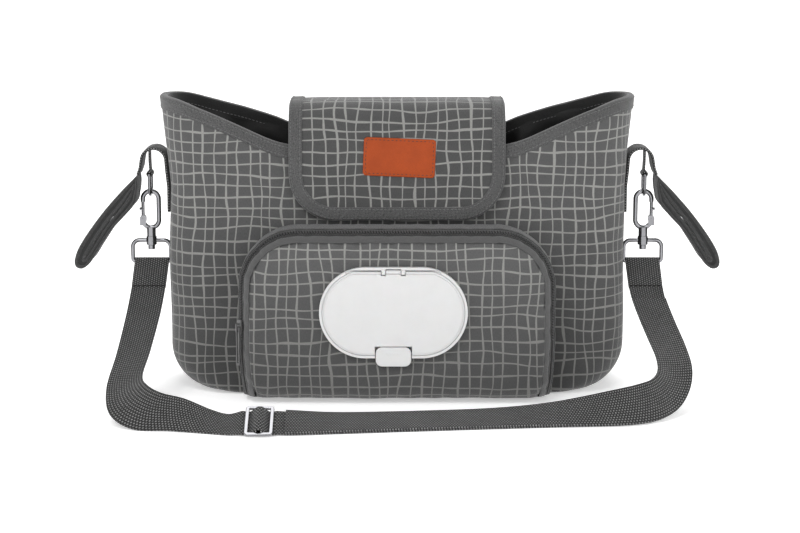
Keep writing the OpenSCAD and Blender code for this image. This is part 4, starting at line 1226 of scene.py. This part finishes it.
# ---------------------------------------------------------------- side hardware and stroller loops

HOOK_X, RING_Z, EYE_Z = 215.0, 184.0, 106.5


def arch_line():
    """The bent webbing's middle line in (x, z): up from the seam, over a bend, down to the loop's pin."""
    t = np.radians(np.linspace(172, 8, 14))
    bend = np.stack([210.6 + 10.6 * np.cos(t), 196.6 + 10.6 * np.sin(t)], 1)
    line = np.concatenate([[(197.9, 152), (197.9, 174), (199.4, 188)], bend, [(222.4, 190), (224.4, 184.4)]])
    return resample(line, 1.2)


def strip(path, side, up, half_w, thick, corner):
    """A flat strip with rounded edges carried along a path, mapped by the distance along it and round it."""
    profile = rounded_box_profile(half_w, thick / 2, corner)
    uv = map_table(path_lengths(path), path_lengths(round_again(profile)))
    return sweep(path, side, up, profile, uv=uv)


def side_strap(line, half_y, thick):
    """A strip that bends in (x, z) and stays straight from front to back."""
    path = np.stack([line[:, 0], np.zeros(len(line)), line[:, 1]], 1)
    side = np.broadcast_to([0.0, 1.0, 0.0], path.shape)
    up = unit(np.cross(tangents(path), side))
    return strip(path, side, up, half_y, thick, min(0.9, thick / 2 - 0.05))


PAD_OUT = [(225.2, 183.8), (231.6, 177), (243, 165.5), (256, 150.5), (269, 133), (277, 120), (280, 111.5),
           (280.4, 107), (279, 103.8), (275.5, 102.4), (271.5, 103.6), (266, 109), (258.5, 120.5), (248, 136),
           (236, 149), (227.8, 158.5), (226.0, 166), (224.6, 176)]
PAD_IN = [(228.9, 174.6), (232.4, 169.6), (239.6, 158.8), (252, 143.8), (263.4, 126.8), (268.6, 117.6),
          (271, 112.6), (270.6, 111.8), (270.0, 111.4), (269.2, 111.2), (268.6, 111.2), (268.2, 111.2),
          (259.8, 125), (248.8, 141.6), (236.8, 156.2), (231.6, 164), (229.4, 167.6), (228.5, 171)]


def nearest_middle(loop):
    """For each point of a slim closed loop, the middle of its slim way there: the mean of the crossings."""
    start, end = loop[0], loop[len(loop) * 7 // 18]
    way = unit((end - start)[None])[0]
    cross = np.array([-way[1], way[0]])
    along, off = (loop - start) @ way, (loop - start) @ cross
    bins = np.linspace(along.min(), along.max(), 12)
    upper = np.array([off[np.abs(along - b) < 6].max() for b in bins])
    lower = np.array([off[np.abs(along - b) < 6].min() for b in bins])
    return start + way * along[:, None] + cross * np.interp(along, bins, (upper + lower) / 2)[:, None]


def make_side(s, tag):
    """The webbing, tab, ring, hook and stroller loop on one side; s is 1 on the right and -1 on the left."""
    body_swing, body_hook, body_gate, body_pad = "swing_" + tag, "hook_" + tag, "gate_" + tag, "pad_" + tag

    def sided(patch):
        """The patch on this side."""
        return patch if s > 0 else mirrored(patch)

    def flip_path(path):
        """The path on this side."""
        return path * np.array([s, 1, 1])
    make_piece("side_webbing_" + tag, sided(side_strap(arch_line(), 15, 2.3)), "webbing", slot="webbing",
               stands_for=("side_web_" + tag,), outward=True)
    rows = []
    for z in (155.0, 158.0, 167.0):
        y = np.linspace(-13, 13, 40)
        cross = flip_path(np.stack([np.full(40, 199.15), y, np.full(40, z)], 1))
        rows.append(stitches(cross, np.broadcast_to([float(s), 0.0, 0.0], cross.shape), 2.2, 1.0, 0.32))
    make_piece("side_stitches_" + tag, join(*rows), "thread_dark", slot="webbing")

    # tab round the ring's bar
    a = np.radians(np.linspace(110, 430, 24))
    wrap = np.stack([HOOK_X + 2.2 * np.cos(a), RING_Z + 2.2 * np.sin(a)], 1)
    line = np.concatenate([[(HOOK_X, 205.0), (HOOK_X, 196.0), (HOOK_X - 0.4, 188.0)], wrap])
    make_piece("ring_tab_" + tag, sided(side_strap(resample(line, 0.8), 7, 1.3)), "webbing", slot="webbing",
               stands_for=("side_tab_" + tag,), outward=True)

    # ring: one bent rod, straight at the bar and round below
    bow = np.radians(np.linspace(0, -180, 30))
    corner = np.radians(np.linspace(10, 90, 6))
    bar_end = np.stack([8 + np.sin(corner), 183 + np.cos(corner)], 1)
    loop = np.concatenate([np.stack([np.linspace(-8, 8, 12), np.full(12, RING_Z)], 1), bar_end,
                           np.stack([np.full(8, 9.0), np.linspace(182, 175, 8)], 1),
                           np.stack([9 * np.cos(bow), 174 + 9 * np.sin(bow)], 1),
                           np.stack([np.full(8, -9.0), np.linspace(175, 182, 8)], 1),
                           bar_end[::-1] * np.array([-1, 1])])
    loop = resample(round_again(loop), 0.8)[:-1]
    path = flip_path(np.stack([np.full(len(loop), HOOK_X), loop[:, 0], loop[:, 1]], 1))
    make_piece("ring_" + tag, tube(path, 1.35, (1, 0, 0), 12, closed_path=True), "chrome", body_swing,
               "chrome", ("d_ring_" + tag,), outward=True)
    softened("hook_body_" + tag, "hook_frame_" + tag, "chrome", body_hook, 0.3, 50, 0.45)
    softened("hook_gate_" + tag, "hook_lever_" + tag, "chrome", body_gate, 0.2, 50, 0.25)
    softened("gate_pin_" + tag, "lever_pin_" + tag, "steel", body_hook, 0.15)
    softened("swivel_stud_" + tag, "stud_" + tag, "chrome", body_hook, 0.3)
    softened("swivel_eye_" + tag, "eye_" + tag, "chrome", body_swing, 0.25, 50, 0.3)

    # webbing folded round the eye and stitched to itself
    lean = unit(np.array([[-26.8, -17.2]]))[0]
    off = 0.85 * np.array([-lean[1], lean[0]])
    start = np.array([-28.5, 88.8])
    turn = np.radians(np.linspace(122.7, -57.3, 26))
    wrap = np.stack([2.55 * np.cos(turn), EYE_Z + 2.55 * np.sin(turn)], 1)
    line = resample(np.concatenate([[start - off], wrap, [start + off]]), 0.7)
    path = np.stack([np.full(len(line), HOOK_X), line[:, 0], line[:, 1]], 1)
    side = np.broadcast_to([1.0, 0.0, 0.0], path.shape)
    fold = strip(path, side, unit(np.cross(tangents(path), side)), 14.7, WEB_T, 0.6)
    make_piece("webbing_fold_" + tag, sided(fold), "webbing", body_swing, "webbing", ("web_loop_" + tag,),
               outward=True)
    out_way = np.array([0.0, -0.54, 0.84])
    rows = []
    for share in (0.25, 0.4, 0.86, 0.93):
        mid = np.array([0, -2.4, 106.0]) * (1 - share) + np.array([0, -28.6, 90.0]) * share
        x = np.linspace(201.8, 228.2, 40)
        cross = flip_path(np.stack([x, np.full(40, mid[1]), np.full(40, mid[2])], 1) + out_way * 0.55)
        rows.append(stitches(cross, np.broadcast_to(out_way, cross.shape), 2.3, 1.0, 0.32))
    make_piece("fold_stitches_" + tag, join(*rows), "thread_dark", body_swing, "webbing")

    # stroller loop: a padded band closed on itself, thick in the middle, with sewn grooves and bound edges,
    # and a dark strip between the edge beads as painted shade
    outer = spline(np.array(PAD_OUT + PAD_OUT[:1]), 6)[:-1]
    inner = spline(np.array(PAD_IN + PAD_IN[:1]), 6)[:-1]
    inner = inner + 0.86 * (nearest_middle(inner) - inner)
    middle = (outer + inner) / 2
    away = outer - inner
    half_t = np.linalg.norm(away, axis=1) / 2
    away = unit(away)
    across = np.linspace(-17.6, 17.6, 45)
    y = np.concatenate([across, across[::-1]])
    crown = np.sqrt(np.clip(1 - (np.abs(y) / 19.2) ** 6, 0, 1))
    grooves = sum(np.exp(-((np.abs(y) - g) / 0.9) ** 2) for g in (4.6, 11.4))
    h = (crown * 1.0 - 0.26 * grooves) * np.concatenate([np.ones(45), -np.ones(45)])
    h = h * np.where(np.abs(y) > 17.5, 0.45, 1)
    pinch = 1 + 0.05 * np.sin(np.arange(len(middle)) * 0.9)
    xz = middle[:, None] + away[:, None] * (h[None, :] * half_t[:, None] * 0.96 * pinch[:, None])[..., None]
    P = np.stack([xz[..., 0], np.broadcast_to(y, xz.shape[:2]), xz[..., 1]], -1)
    loop_len = path_lengths(round_again(middle))
    wide = path_lengths(round_again(y)[:, None])
    uv = map_table(loop_len, wide)
    pad = make_piece("stroller_loop_" + tag, sided(grid(P, uv, wrap_i=True, wrap_j=True)), "pad", body_pad,
                     "padding",
                     ("pad_" + tag,), outward=True)
    beads, edge_shade_strips = [], []
    ring = np.radians(np.arange(0, 360, 36))
    for sign in (-1, 1):
        for place in (-0.6, 0.6):
            core = middle + away * (place * half_t)[:, None]
            size = (0.3 * half_t + 0.45)[:, None]
            xz = core[:, None] + away[:, None] * (size * np.cos(ring))[..., None]
            yy = sign * (17.0 + 1.5 * np.sin(ring))
            Q = np.stack([xz[..., 0], np.broadcast_to(yy, xz.shape[:2]), xz[..., 1]], -1)
            beads.append(grid(Q, map_table(loop_len, np.arange(11) * 0.9),
                              wrap_i=True, wrap_j=True))
        # painted shade: a dark strip between the two edge beads on each side, in the dark hook-tape cloth
        box = np.array([(-0.42, 17.2), (0.42, 17.2), (0.42, 17.9), (-0.42, 17.9)])
        xz = middle[:, None] + away[:, None] * (box[None, :, 0] * half_t[:, None])[..., None]
        Q = np.stack([xz[..., 0], np.broadcast_to(sign * box[:, 1], xz.shape[:2]), xz[..., 1]], -1)
        edge_shade_strips.append(grid(Q, wrap_i=True, wrap_j=True))
    make_piece("loop_edges_" + tag, sided(join(*beads)), "pad_edge", body_pad, "binding", outward=True)
    make_piece("loop_edge_shade_" + tag, sided(join(*edge_shade_strips)), "hook_tape", body_pad, "binding", outward=True)
    tape = resample(np.array([(228.9, 171.6), (238.2, 157.4), (245.6, 148.4)]), 1.0)
    make_piece("loop_tape_" + tag, sided(side_strap(tape, 17.4, 2.0)), "hook_tape", body_pad, "closure_tape",
               ("pad_tape_" + tag,), outward=True)


# ---------------------------------------------------------------- adjuster and floor


def make_adjuster():
    """The frame, and the webbing over its bar: a low arc between two flats, tilted as the frame is."""
    softened("adjuster", "adjuster_frame", "chrome", "adjuster", 0.5)
    a = np.radians(np.linspace(155, 25, 22))
    hump = np.stack([4.3 * np.cos(a), -1.4 + 4.3 * np.sin(a)], 1)
    flats = [(-14.2, -2.2), (-7.4, -2.5)], [(7.4, -2.5), (14.2, -2.2)]
    line = resample(np.concatenate([flats[0], hump, flats[1]]), 0.6)
    tilt = math.radians(25)
    across = np.array([0, math.cos(tilt), math.sin(tilt)])
    lift = np.array([0, -math.sin(tilt), math.cos(tilt)])
    path = np.array([-110, -190, 9.5]) + line[:, :1] * np.array([1.0, 0, 0]) + line[:, 1:] * lift
    side = np.broadcast_to(across, path.shape)
    weave = strip(path, side, unit(np.cross(side, tangents(path))), 14.7, WEB_T, 0.6)
    make_piece("adjuster_webbing", weave, "webbing", "adjuster", "webbing", ("adjuster_weave",), outward=True)


def make_floor():
    """A white studio floor: a disc that curves up into a low round wall, white behind the bag all round."""
    a = np.radians(np.linspace(0, 90, 14))
    r = np.concatenate([np.linspace(0.02, 3.0, 16), 3.0 + 0.7 * np.sin(a[1:]), [3.7, 3.7]])
    z = np.concatenate([np.zeros(16), 0.7 * (1 - np.cos(a[1:])), [1.2, 1.9]])
    t = np.arange(96) * TURN / 96
    rings = np.stack(np.broadcast_arrays(r[:, None] * np.cos(t), r[:, None] * np.sin(t), z[:, None]), -1)
    points, faces, _ = join(grid(rings, wrap_j=True, flip=True), fan(rings[0]))
    mesh = bpy.data.meshes.new("floor")
    mesh.from_pydata(points.tolist(), [], [row for f in faces for row in f.tolist()])
    mesh.shade_smooth()
    mesh.materials.append(MAT["floor"])
    floor = bpy.data.objects.new("floor", mesh)
    bpy.context.scene.collection.objects.link(floor)


make_strap("strap_left_run", LEFT_A, LEFT_B, "strap_left", "swing_left")
make_strap("strap_right_run", RIGHT_A, RIGHT_B, "strap_right", "swing_right")
make_strap("strap_return_run", RIGHT_A, RIGHT_B, "strap_return", offset=2.0, trim=(20, 8))
make_adjuster()
make_body()
make_flap()
make_pocket()
make_zip_pull()
make_wipes_lid()
make_side(-1, "left")
make_side(1, "right")
make_floor()
